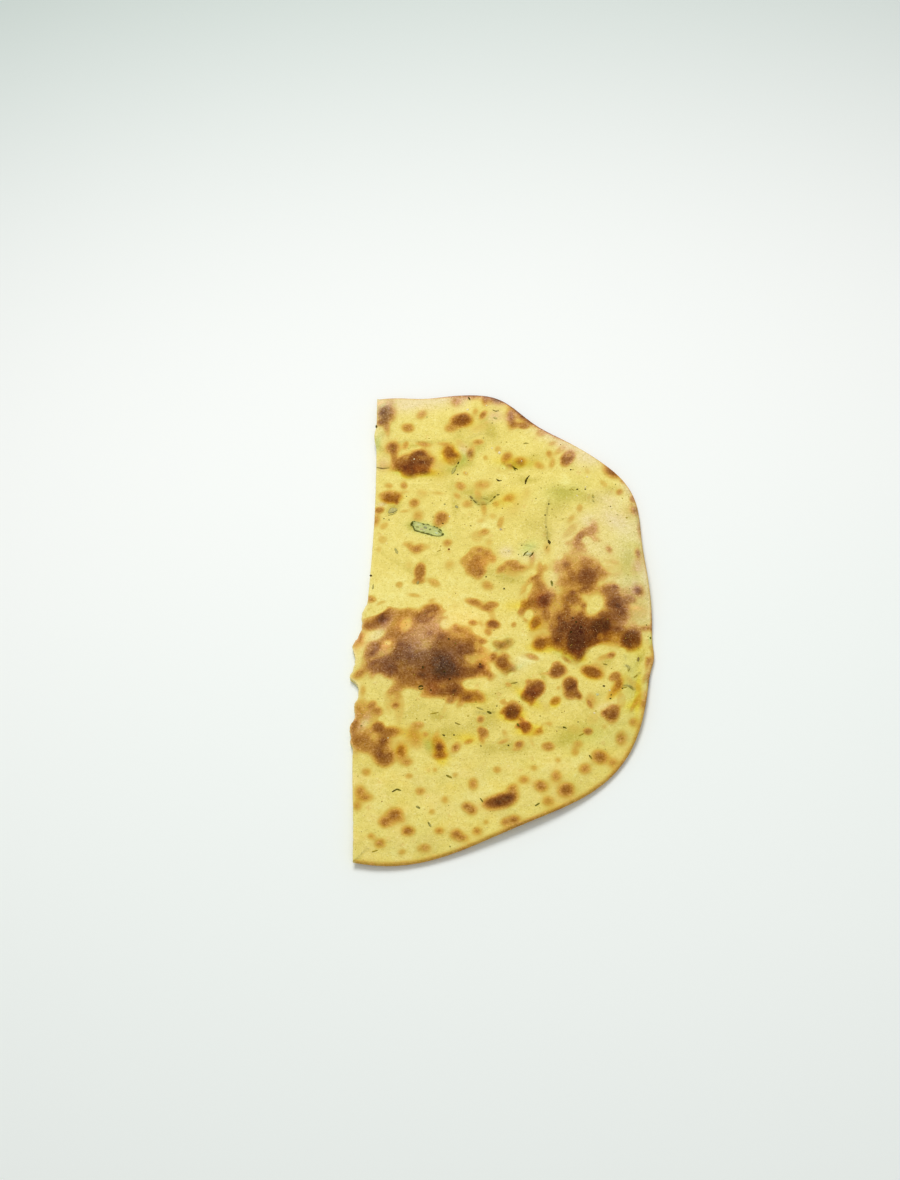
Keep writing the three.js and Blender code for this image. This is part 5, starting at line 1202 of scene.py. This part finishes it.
# the slice of chilli: a dark skin round pale flesh, with two seeds
def chilli():
    ring = np.array([(410.8, 523.4, 1.0), (412.0, 521.6, 1.0), (413.6, 521.2, 0.8), (418.0, 522.2, 0.3), (423.0, 523.6, 0.75), (428.0, 525.0, 0.4), (433.0, 526.8, 0.75),
                     (437.5, 528.6, 0.25), (440.6, 529.8, 0.8), (441.4, 531.6, 0.7), (443.6, 534.6, 0.95), (443.4, 535.4, 0.95), (441.0, 536.2, 0.4), (437.0, 536.4, 0.1),
                     (432.6, 535.8, 0.55), (427.0, 534.0, 0.85), (421.0, 532.4, 0.7), (416.0, 531.4, 0.9), (414.2, 530.6, 0.95), (413.0, 527.6, 0.95)])
    outline, skinned = ring[:, :2], ring[:, 2]
    n = 64
    loop = np.vstack([outline, outline[:1]])
    seg = np.concatenate([[0], np.cumsum(np.hypot(*np.diff(loop, axis=0).T))])
    t = np.arange(n) / n * seg[-1]
    qx, qy = np.interp(t, seg, loop[:, 0]), np.interp(t, seg, loop[:, 1])
    skinned = np.interp(t, seg, np.append(skinned, skinned[0]))
    x, y, _ = on_face(qx, qy)
    if (x * np.roll(y, -1) - y * np.roll(x, -1)).sum() < 0:
        x, y, skinned = x[::-1], y[::-1], skinned[::-1]
    cx, cy = x.mean(), y.mean()
    dx, dy = x - cx, y - cy
    ang = 0.5 * math.atan2(2 * (dx * dy).mean(), (dx * dx).mean() - (dy * dy).mean())
    c, s_ = math.cos(ang), math.sin(ang)
    a, b = dx * c + dy * s_, -dx * s_ + dy * c
    la, lb = np.abs(a).max(), np.abs(b).max()
    rng = np.random.RandomState(8)
    rings = [(0.10, -0.25), (0.0, 0.05), (0.02, 0.34), (0.16, 0.46), (0.40, 0.42), (0.62, 0.27), (0.90, 0.23)]
    X, Y, Z, C = [], [], [], []
    skin, inner = tint(68, 74, 4), tint(192, 198, 122)
    wob = 1 + 0.10 * (rng.rand(n) - 0.5)
    for k, (inset, up) in enumerate(rings):
        step = inset * wob
        fa, fb = (la - step * 1.2) / la, (lb - step * 0.72) / lb
        X.append(cx + a * fa * c - b * fb * s_)
        Y.append(cy + a * fa * s_ + b * fb * c)
        Z.append(face_z(X[-1], Y[-1]) + up + 0.05 * (rng.rand(n) - 0.5) * (k > 1))
        w = [1, 1, 0.95, 0.62, 0.12, 0.0, 0.0][k] * skinned + [0, 0, 0, 0.3, 0.5, 0.25, 0.0][k] * smooth((skinned - 0.8) / 0.2)
        w = np.clip(w, 0, 1)[:, None]
        flesh = inner * (1 + [0.0, 0.0, 0.0, 0.1, 0.35, 0.5, 0.5][k] * (rng.rand(n, 1) - 0.5)) + (rng.rand(n, 1) > 0.8) * (k > 3) * tint(60, 62, 44)
        C.append(skin * w + flesh * (1 - w))
    gx, gy = np.array([0.72, 0.36, 0.0, -0.36, -0.72]), None
    co = np.stack([np.concatenate(X), np.concatenate(Y), np.concatenate(Z)], 1)
    cc = np.concatenate(C)
    tri = []
    for k in range(len(rings) - 1):
        for j in range(n):
            p, q = k * n + j, k * n + (j + 1) % n
            tri += [(p, q, q + n), (p, q + n, p + n)]
    # flesh inside the last ring: a spine of points joined to it
    last = (len(rings) - 1) * n
    spine_a = np.linspace(-0.82, 0.82, 13) * la
    sx, sy = cx + spine_a * c, cy + spine_a * s_
    sz = face_z(sx, sy) + 0.20 + 0.05 * rng.rand(13)
    s0 = len(co)
    co = np.vstack([co, np.stack([sx, sy, sz], 1)])
    cc = np.vstack([cc, np.tile(inner * 1.04, (13, 1))])
    near = s0 + np.abs((a * 0.86)[:, None] - spine_a[None, :]).argmin(1)
    for j in range(n):
        p, q = last + j, last + (j + 1) % n
        u_, v_ = near[j], near[(j + 1) % n]
        tri.append((p, q, u_))
        if u_ != v_:
            lo_, hi_ = (u_, v_)
            stepd = 1 if hi_ > lo_ else -1
            for m_ in range(lo_, hi_, stepd):
                tri.append((q, m_ + stepd, m_))
    tri = np.array(tri)
    # underside cap
    fan = [(0, j + 1, j) for j in range(1, n - 1)]
    pile = Pile()
    pile.add(co, np.vstack([tri, fan]), cc)
    # what shows on the cut: darker and paler cells of the flesh, and the skin
    # standing up round it in broken pieces, thick at both tips
    for px, py, long, wide, turn, col in ((425.4, 527.8, 1.5, 0.9, -0.3, tint(150, 152, 112)), (430.2, 529.6, 1.0, 0.8, 0.9, tint(124, 132, 66)), (417.4, 527.2, 1.4, 0.6, -0.1, tint(152, 152, 86)),
                                          (421.6, 529.4, 1.2, 0.6, -0.3, tint(208, 186, 146)), (419.0, 524.9, 1.5, 0.45, -0.3, tint(214, 218, 168)), (424.2, 531.2, 1.1, 0.4, -0.2, tint(208, 208, 158)),
                                          (436.6, 533.4, 1.4, 0.6, -0.4, tint(210, 222, 180)), (435.4, 530.6, 1.0, 0.5, 0.2, tint(196, 208, 144))):
        qx_, qy_, qz_ = on_face(px, py)
        blob(pile, qx_[0], qy_[0], qz_[0] + 0.27, long, wide, 0.14, turn, col, rng, ICO1, 0.2, 0.5)
    for px, py, long, wide, turn, g in ((411.9, 524.0, 1.7, 1.0, 1.25, 0.0), (413.4, 527.2, 1.1, 0.5, -1.3, 0.5), (414.4, 529.6, 1.1, 0.5, -1.1, 0.3), (414.6, 521.9, 1.1, 0.35, -0.1, 0.8), (423.6, 524.4, 1.0, 0.5, -0.4, 0.3),
                                        (428.0, 525.0, 1.4, 0.4, -0.3, 0.4), (434.6, 527.1, 0.9, 0.4, -0.5, 0.3), (437.2, 528.1, 0.9, 0.4, -0.4, 0.4), (440.5, 530.6, 1.4, 0.6, -1.0, 0.2), (442.6, 534.6, 1.1, 0.75, 0.4, 0.1),
                                        (439.4, 532.2, 1.3, 0.3, -0.8, 0.7), (417.6, 531.2, 1.5, 0.4, -0.2, 0.8), (422.6, 532.6, 1.6, 0.4, -0.3, 0.7), (428.0, 534.0, 1.6, 0.4, -0.3, 0.4), (431.6, 535.2, 0.9, 0.4, -0.4, 0.3)):
        qx_, qy_, qz_ = on_face(px, py)
        blob(pile, qx_[0], qy_[0], qz_[0] + 0.40, long, wide, 0.22, turn, tint(66, 72, 2) + g * (tint(124, 130, 52) - tint(66, 72, 2)), rng, ICO1, 0.25, 0.5)
    return pile


chilli_piece = chilli().mesh("roti_chilli", leaf_material("chilli", 0.5, 0.03, 0.05))

# shreds of leaf
herbs = Pile()
SHREDS = [
    ([(459.0, 461.6), (457.6, 464.2)], 1.9, [DARK, DARK]), ([(457.0, 465.4), (455.0, 468.0)], 1.2, [GREEN, OLIVE_C]), ([(455.6, 467.6), (453.4, 470.6), (452.2, 474.0)], 3.2, [GREY, tint(176, 168, 86), GREY]),
    ([(470.0, 496.0), (472.4, 498.8)], 2.2, [PURPLE, GREY_DARK]), ([(473.4, 500.0), (476.4, 503.2)], 1.5, [DARK, GREY_DARK]), ([(477.4, 504.2), (480.0, 504.8)], 1.0, OLIVE_C), ([(481.6, 504.8), (487.0, 504.0)], 0.7, OLIVE_C),
    ([(489.4, 502.0), (492.4, 499.4)], 1.3, [OLIVE_C, GREEN]), ([(493.4, 498.2), (495.6, 495.8)], 1.9, [DARK, GREEN]), ([(496.4, 495.0), (499.6, 494.6)], 1.7, [GREEN, GREY_DARK]), ([(483.5, 498.6), (487.4, 499.4)], 0.8, OLIVE_C),
    ([(496.2, 478.8), (498.6, 481.0), (502.0, 480.4)], [1.2, 2.0, 1.0], [DARK, BLACK, DARK]), ([(529.8, 475.4), (527.6, 477.4), (525.8, 480.6), (525.4, 484.2)], [1.2, 2.0, 2.2], [DARK, DARK, BLACK]),
    ([(511.8, 465.4), (514.2, 467.8), (515.4, 471.0)], [1.2, 2.0, 1.1], [OLIVE_C, DARK, GREEN]), ([(514.2, 467.6), (518.0, 469.6)], 1.3, DARK), ([(523.2, 444.0), (525.6, 442.8), (528.8, 443.6)], [0.8, 1.3, 0.8], [OLIVE_C, GREEN, OLIVE_C]),
    ([(468.2, 396.8), (470.2, 400.2)], 1.6, DARK), ([(548.0, 540.0), (549.6, 542.0), (549.8, 544.4)], [2.4, 3.0, 1.8], [DARK, BLACK, DARK]), ([(547.2, 545.8), (546.4, 549.0)], 1.0, GREEN),
    ([(523.6, 556.0), (525.0, 553.0), (528.2, 551.2)], 1.5, [DARK, GREEN, GREEN]), ([(529.0, 557.0), (532.0, 555.0), (533.4, 551.8)], 1.4, [GREEN, DARK, GREEN]), ([(525.4, 555.2), (528.6, 554.2), (531.6, 553.0)], 3.0, [GREY, MINT, MINT]),
    ([(551.0, 580.4), (552.0, 583.0), (552.2, 586.2)], 2.4, [GREY_DARK, GREEN, GREY]), ([(388.4, 513.0), (392.0, 510.4), (397.4, 509.4)], 5.6, [GREY, tint(186, 178, 118), GREY]), ([(388.0, 515.4), (392.0, 514.6), (396.6, 512.2)], 1.0, [GREY_DARK, GREY]),
    ([(395.0, 548.0), (396.4, 551.0), (397.6, 553.6)], 2.8, [GREY, tint(184, 176, 100), GREY]), ([(373.2, 584.2), (373.2, 587.0), (372.6, 589.2)], 2.0, [GREY, tint(180, 168, 92), GREY]), ([(418.4, 580.8), (417.4, 584.2)], 3.2, [tint(170, 140, 84), GREY]),
    ([(376.4, 467.4), (383.0, 468.6), (389.4, 467.8)], 1.3, [GREY_DARK, PURPLE, OLIVE_C]), ([(376.2, 425.2), (376.6, 428.0)], 2.2, DARK), ([(492.6, 409.8), (495.6, 411.4), (498.8, 410.6)], 1.2, [GREEN, DARK]), ([(493.6, 417.0), (497.0, 419.0)], 2.4, GREY),
    ([(418.2, 687.4), (420.6, 685.6), (423.4, 686.6)], 1.6, [BLACK, DARK, BLACK]), ([(418.4, 688.6), (421.0, 689.6), (423.4, 688.0)], 1.5, [BLACK, GREEN, BLACK]), ([(627.0, 685.0), (630.6, 686.6), (633.2, 689.8)], 2.2, [GREY, GREY_DARK, OLIVE_C]),
    ([(622.6, 688.0), (627.0, 687.0)], 1.2, OLIVE_C), ([(638.6, 657.2), (638.0, 661.6)], 2.6, [PURPLE, GREY_DARK]), ([(625.8, 664.8), (629.4, 667.4), (628.2, 671.4)], 2.4, [GREY, GREY, OLIVE_C]), ([(634.0, 677.6), (637.4, 674.8)], 1.5, OLIVE_C),
    ([(592.6, 494.6), (593.4, 498.0)], 2.0, [OLIVE_C, GREY]), ([(592.4, 499.4), (594.2, 502.4)], 1.8, GREY), ([(571.0, 488.6), (574.0, 490.4)], 1.2, OLIVE_C), ([(603.0, 663.8), (607.4, 664.8)], 1.6, [OLIVE_C, GREY_DARK]), ([(487.0, 711.2), (491.4, 713.6)], 2.4, [GREEN, DARK]),
    ([(455.4, 505.6), (458.0, 508.0)], 2.6, [tint(150, 142, 80), tint(196, 188, 130)]), ([(442.4, 734.6), (445.0, 735.8)], 1.9, [DARK, DARK]), ([(437.0, 551.6), (441.0, 549.8)], 0.9, OLIVE_C), ([(510.6, 683.6), (517.6, 682.2)], 1.4, [OLIVE_C, GREY_DARK]), ([(563.0, 726.6), (566.6, 728.4)], 1.8, GREEN),
    ([(517.0, 723.4), (519.0, 726.0)], 1.8, GREEN), ([(476.4, 707.0), (483.0, 709.6)], 1.6, [OLIVE_C, GREY]), ([(430.0, 714.0), (437.0, 712.6)], 1.4, OLIVE_C), ([(455.0, 722.6), (460.4, 724.8)], 1.6, [GREY_DARK, OLIVE_C]), ([(578.6, 736.0), (584.0, 733.4)], 1.6, OLIVE_C),
    ([(446.0, 775.0), (452.0, 778.0)], 1.8, [GREEN, OLIVE_C]), ([(392.0, 792.0), (397.0, 789.0), (401.0, 790.6)], 1.8, [DARK, GREEN]), ([(535.0, 806.0), (539.6, 803.0)], 1.6, GREEN), ([(428.0, 822.0), (431.0, 827.0)], 2.0, [GREEN, GREY]), ([(589.0, 755.0), (592.0, 759.0)], 1.8, [DARK, OLIVE_C]),
    ([(372.0, 852.0), (378.0, 850.0)], 1.6, OLIVE_C), ([(480.0, 798.0), (483.0, 802.0)], 1.4, GREEN), ([(416.0, 806.0), (420.0, 808.4)], 2.4, [GREY, GREEN]),
]
for i, (path, width, colour) in enumerate(SHREDS):
    strip(herbs, path, width, np.array(colour), 0.17, 100 + i)

# specks of spice and bits of herb: pixel, length and width in pixels, turn, colour
SPECKS = [
    (370.9, 575.6, 2.6, 2.2, 40, BLACK), (570.7, 469.7, 1.8, 1.6, 0, BLACK), (577.3, 489.3, 2.2, 1.8, 0, DARK), (570, 489.8, 1.8, 1.4, 0, OLIVE_C), (585.3, 489.2, 2.0, 1.5, 0, DARK), (536, 498.5, 1.4, 1.1, 0, GREY_DARK), (518, 504, 2.0, 1.6, 0, OLIVE_C),
    (486, 576.8, 1.8, 1.5, 0, DARK), (504, 588.6, 2.0, 1.8, 0, DARK), (389, 520, 1.6, 1.1, 20, GREEN), (384, 518.6, 1.2, 1.0, 0, DARK), (361.4, 725.7, 2.0, 1.6, 0, GREY_DARK), (518, 724.8, 2.0, 1.6, 0, DARK), (603.9, 686, 2.6, 1.8, 30, DARK), (563.8, 727.5, 1.8, 1.4, 0, DARK),
    (508.4, 745.4, 2.0, 1.6, 0, DARK), (444.7, 504.2, 2.0, 1.6, 0, GREY_DARK), (470.7, 525.7, 1.8, 1.5, 0, GREY_DARK), (442.8, 523.4, 1.8, 1.4, 0, BLACK), (440.7, 546, 1.7, 1.2, 0, OLIVE_C), (449, 549.2, 2.4, 2.2, 0, RUST), (457.7, 474.3, 1.8, 1.6, 0, DARK), (502.3, 508.2, 1.2, 1.0, 0, DARK),
    (446, 491.3, 1.2, 1.0, 0, OLIVE_C), (433, 517, 1.5, 1.1, 0, OLIVE_C), (440.7, 500.2, 1.4, 1.1, 0, OLIVE_C), (513.7, 477.7, 1.4, 1.1, 0, OLIVE_C), (521.7, 545.3, 1.6, 1.3, 0, GREY_DARK), (610.5, 506.3, 1.6, 1.2, 0, DARK), (610.3, 521.3, 1.4, 1.2, 0, OLIVE_C),
    (617.3, 514.7, 2.2, 1.0, 30, GREY), (626.7, 517.7, 2.0, 1.6, 0, OLIVE_C), (622.3, 498.3, 1.4, 1.2, 0, OLIVE_C), (611.3, 694.9, 1.6, 1.4, 0, DARK), (610.5, 698.6, 1.8, 1.5, 0, DARK), (622.5, 688.4, 1.6, 1.3, 0, DARK), (650.4, 637.8, 1.8, 2.2, 0, GREEN), (646.5, 625, 1.6, 1.3, 0, GREEN),
    (605, 664.3, 1.5, 1.3, 0, GREEN), (611.5, 668.6, 1.5, 1.2, 0, OLIVE_C), (590, 662, 1.4, 1.0, 0, OLIVE_C), (423, 667, 2.2, 2.8, 0, BLACK), (448.8, 639, 1.8, 2.2, 0, BLACK), (444.4, 671.6, 2.4, 2.0, 0, BLACK), (449.8, 679, 2.0, 1.6, 0, BLACK), (480, 664, 2.6, 1.8, 0, BLACK),
    (576, 622, 2.2, 2.0, 0, BLACK), (571, 632, 2.4, 1.8, 0, BLACK), (581, 627, 2.0, 1.6, 0, BLACK), (573, 618, 1.8, 1.6, 0, BLACK), (454, 735, 1.8, 1.4, 0, DARK), (497, 706, 1.8, 1.4, 0, GREY_DARK), (476, 702, 1.6, 1.2, 0, OLIVE_C), (540, 716, 1.6, 1.2, 0, OLIVE_C),
    (419, 442, 1.4, 1.2, 0, OLIVE_C), (429, 438.5, 1.4, 1.2, 0, OLIVE_C), (466, 447, 1.6, 1.2, 0, tint(196, 160, 40)), (460, 431, 1.4, 1.2, 0, OLIVE_C), (431, 480, 1.6, 1.0, 0, OLIVE_C), (419, 481, 1.2, 1.0, 0, OLIVE_C), (409, 449, 1.2, 1.0, 0, OLIVE_C), (483.4, 438, 1.4, 1.1, 0, GREY_DARK),
    (506.4, 442, 1.4, 1.1, 0, OLIVE_C), (533.6, 455.6, 1.5, 1.2, 0, OLIVE_C), (546, 482, 1.4, 1.1, 0, OLIVE_C), (558, 485, 1.6, 1.3, 0, OLIVE_C), (552, 509, 1.6, 1.3, 0, OLIVE_C), (545, 515, 2.0, 1.6, 0, DARK), (546, 527, 1.8, 2.0, 0, GREY_DARK), (549, 504, 2.0, 1.8, 0, DARK),
    (556, 517, 1.5, 1.2, 0, OLIVE_C), (541, 488, 1.4, 1.0, 0, GREY_DARK), (526, 520, 1.4, 1.0, 0, OLIVE_C), (431, 690, 1.8, 1.6, 0, BLACK), (378, 699, 1.4, 1.0, 0, OLIVE_C), (416, 700, 1.4, 1.0, 0, OLIVE_C), (468, 716, 1.6, 1.4, 0, OLIVE_C), (425, 720, 1.6, 1.2, 0, OLIVE_C),
    (500, 727, 1.4, 1.1, 0, OLIVE_C), (481, 746, 1.6, 1.2, 0, DARK), (596, 711, 1.6, 1.2, 0, OLIVE_C), (578, 722, 1.4, 1.0, 0, DARK), (638, 648, 1.4, 1.2, 0, OLIVE_C), (634, 532, 1.3, 1.0, 0, OLIVE_C), (599, 541, 1.4, 1.1, 0, OLIVE_C), (628, 575, 1.6, 1.2, 0, OLIVE_C),
]
specks = Pile()
rng = np.random.RandomState(12)
px, py = np.array([q[0] for q in SPECKS]), np.array([q[1] for q in SPECKS])
sx, sy, sz = on_face(px, py)
for (a, b, long, wide, turn, colour), x, y, z in zip(SPECKS, sx, sy, sz):
    blob(specks, x, y, z, long * 0.38, wide * 0.40, 0.22, math.radians(-turn), colour, rng, ICO1, 0.22, 0.45)


def scatter(count, seed, low, high):
    """Random places inside the outline, away from the edge."""
    r = np.random.RandomState(seed)
    x, y = r.uniform(-16, 102, count * 3), r.uniform(-102, 102, count * 3)
    keep = inside_ring(x, y, rx0, ry0)
    x, y = x[keep][:count], y[keep][:count]
    return x, y, r


x, y, r = scatter(560, 77, 0, 0)
d, c = edge_distance(x, y)
keep = d > 0.8
x, y = x[keep], y[keep]
z = face_z(x, y)
colours = [OLIVE_C, OLIVE_C, tint(196, 178, 84), tint(196, 178, 84), tint(188, 158, 60), GREEN, RUST]
for a, b, h in zip(x, y, z):
    size = 0.16 + 0.30 * r.rand() ** 3
    blob(specks, a, b, h, size * r.uniform(1.0, 1.7), size, size * 0.45, r.uniform(0, 6.3), colours[r.randint(len(colours))], r, ICO0, 0.2, 0.5)

# grains of flour, thickest over the two broad browned patches, and a few white flecks
flour = Pile()
r = np.random.RandomState(5)
spread = [((417, 640), (24, 17), 420), ((440, 656), (26, 16), 90), ((392, 655), (22, 18), 130), ((577, 624), (20, 17), 200), ((590, 560), (18, 20), 170), ((620, 600), (14, 16), 150), ((553, 600), (20, 18), 130), ((420, 458), (14, 11), 46),
          ((630, 638), (9, 9), 40), ((386, 412), (9, 10), 46), ((462, 419), (9, 6), 14), ((478, 560), (14, 13), 36), ((535, 690), (10, 11), 30), ((365, 735), (14, 26), 120), ((512, 710), (9, 8), 22), ((615, 520), (22, 30), 150), ((560, 530), (30, 20), 40), ((540, 500), (30, 20), 60)]
fx, fy = [], []
for (cx, cy), (rx, ry), count in spread:
    fx.append(cx + rx * 0.62 * r.randn(count))
    fy.append(cy + ry * 0.62 * r.randn(count))
fx, fy = np.concatenate(fx), np.concatenate(fy)
gx_, gy_, gz_ = on_face(fx, fy)
keep = inside_ring(gx_, gy_, rx0, ry0)
x2, y2, _ = scatter(700, 78, 0, 0)
z2 = face_z(x2, y2)
gx_, gy_, gz_ = np.concatenate([gx_[keep], x2]), np.concatenate([gy_[keep], y2]), np.concatenate([gz_[keep], z2])
for a, b, h in zip(gx_, gy_, gz_):
    size = 0.10 + 0.20 * r.rand() ** 2.5
    blob(flour, a, b, h, size * 1.3, size, size * 0.7, r.uniform(0, 6.3), tint(226, 180, 128) * r.uniform(0.6, 1.1), r, ICO0, 0.2, 0.4)
for a, b, long, wide, turn, colour in ((467.5, 409.6, 3.0, 2.2, -20, WHITE), (500.8, 529.2, 3.0, 2.2, 30, tint(186, 168, 128)), (414.2, 459.1, 1.6, 1.4, 0, WHITE), (597.5, 694.4, 3.0, 2.4, 0, MINT), (609.8, 690.2, 2.0, 1.6, 0, WHITE), (499.2, 452.6, 2.6, 3.2, 0, WHITE),
                                       (492, 448, 1.8, 1.6, 0, WHITE), (528.4, 554.0, 4.0, 2.2, 12, tint(214, 218, 192)), (577, 495.5, 1.8, 1.4, 0, WHITE), (585.5, 487, 1.6, 1.4, 0, WHITE), (449.5, 516.4, 1.8, 1.6, 0, WHITE), (466, 473.0, 1.2, 1.2, 0, WHITE), (521.6, 461, 1.4, 1.2, 0, WHITE),
                                       (486.4, 405.4, 1.8, 1.2, 0, WHITE), (508.5, 550.8, 2.6, 1.4, 0, tint(220, 206, 160)), (587.0, 476.8, 2.0, 1.8, 0, tint(240, 226, 178)), (594.4, 713.0, 2.4, 1.6, 20, WHITE), (388, 738, 1.6, 1.2, 0, WHITE)):
    x, y, z = on_face(a, b)
    blob(flour, x[0], y[0], z[0], long * 0.38, wide * 0.40, 0.2, math.radians(-turn), colour, r, ICO1, 0.25, 0.45)

# specks under the bread as well, flush with its foot
under = scatter(260, 79, 0, 0)
for a, b in zip(under[0], under[1]):
    size = 0.2 + 0.3 * r.rand() ** 2
    v, f = ICO0
    k = 1 + 0.2 * (r.rand(len(v)) - 0.5)
    base = float(lift(np.array([a]), np.array([b]))[0])
    co = np.stack([a + v[:, 0] * k * size * 0.7, b + v[:, 1] * k * size * 0.5, base + 0.10 + v[:, 2] * 0.12], 1)
    specks.add(np.maximum(co, [-1e9, -1e9, 0.004]), f, colours[r.randint(len(colours))])

herbs_piece = herbs.mesh("roti_herbs", leaf_material("herb", 0.7, 0.02, 0.05))
specks_piece = specks.mesh("roti_specks", leaf_material("spice", 0.7, 0.02, 0.03))
flour_piece = flour.mesh("roti_flour", leaf_material("flour", 0.8, 0.05, 0.02))
for piece in (herbs_piece, specks_piece, flour_piece, chilli_piece):
    co = np.empty(len(piece.data.vertices) * 3, np.float32)
    piece.data.vertices.foreach_get("co", co)
    co = co.reshape(-1, 3)
    assert co[:, 2].min() > -1e-7 and co[:, 2].max() < CAD_HI[2], (piece.name, co[:, 2].min(), co[:, 2].max())

# --------------------------------------------------------------------------
# Floor and light
# --------------------------------------------------------------------------
def stage():
    me = bpy.data.meshes.new("floor")
    s = 6.0
    me.from_pydata([(-s, -s, 0), (s, -s, 0), (s, s, 0), (-s, s, 0)], [], [(0, 1, 2, 3)])
    ob = bpy.data.objects.new("floor", me)
    bpy.context.scene.collection.objects.link(ob)
    mat = bpy.data.materials.new("pale_floor")
    mat.use_nodes = True
    t = mat.node_tree
    p = t.nodes["Principled BSDF"]
    # painted falloff of light: the backdrop's colour is lighter in the middle and darker away from it, most to the back
    at = t.nodes.new("ShaderNodeTexCoord")
    shift = t.nodes.new("ShaderNodeMapping")
    shift.inputs["Location"].default_value = (-0.05, 0.14, 0.0)
    shift.inputs["Scale"].default_value = (0.5, 1.0, 1.0)
    ball = t.nodes.new("ShaderNodeVectorMath")
    ball.operation = "LENGTH"
    ramp = t.nodes.new("ShaderNodeValToRGB")
    ramp.color_ramp.interpolation = "B_SPLINE"
    e = ramp.color_ramp.elements
    e[0].position, e[0].color = 0.04, (0.92, 0.95, 0.925, 1)
    e[1].position, e[1].color = 0.55, (0.44, 0.495, 0.465, 1)
    for place, c in ((0.125, (0.899, 0.934, 0.907, 1)), (0.184, (0.897, 0.918, 0.896, 1)), (0.244, (0.875, 0.888, 0.870, 1)),
                     (0.303, (0.823, 0.836, 0.820, 1)), (0.363, (0.739, 0.762, 0.743, 1)), (0.422, (0.640, 0.678, 0.655, 1)), (0.482, (0.541, 0.593, 0.565, 1))):
        e.new(place).color = c
    t.links.new(at.outputs["Object"], shift.inputs["Vector"])
    t.links.new(shift.outputs["Vector"], ball.inputs[0])
    t.links.new(ball.outputs["Value"], ramp.inputs["Fac"])
    t.links.new(ramp.outputs["Color"], p.inputs["Base Color"])
    p.inputs["Roughness"].default_value = 0.85
    p.inputs["Specular IOR Level"].default_value = 0.2
    me.materials.append(mat)
    ob.location = (0, 0, -0.00005)
    return ob


stage()


def area(name, at, to, size, watts, colour=(1, 1, 1)):
    d = bpy.data.lights.new(name, "AREA")
    d.shape = "DISK"
    d.size = size
    d.energy = watts
    d.color = colour
    o = bpy.data.objects.new(name, d)
    bpy.context.scene.collection.objects.link(o)
    o.location = at
    o.rotation_mode = "QUATERNION"
    o.rotation_quaternion = (Vector(to) - Vector(at)).to_track_quat("-Z", "Y")
    return o


area("key", (-0.10, 0.42, 0.72), (0.01, 0.03, 0), 0.42, 4.35, (1.0, 0.995, 0.985))
area("fill", (0.5, -0.9, 1.3), (0, 0, 0), 1.2, 2.0, (0.99, 1.0, 1.0))
world = bpy.data.worlds.new("world")
world.use_nodes = True
world.node_tree.nodes["Background"].inputs["Color"].default_value = (0.95, 0.98, 0.97, 1)
world.node_tree.nodes["Background"].inputs["Strength"].default_value = 0.48
bpy.context.scene.world = world
bpy.context.scene.view_settings.view_transform = "Standard"
bpy.context.scene.view_settings.look = "None"
bpy.context.scene.view_settings.exposure = 0.0
bpy.context.scene.view_settings.gamma = 1.0

bpy.context.view_layer.update()
print("mesh", len(VX), "tris", sum(len(f) for f in faces3) + 2 * sum(len(f) for f in faces4))
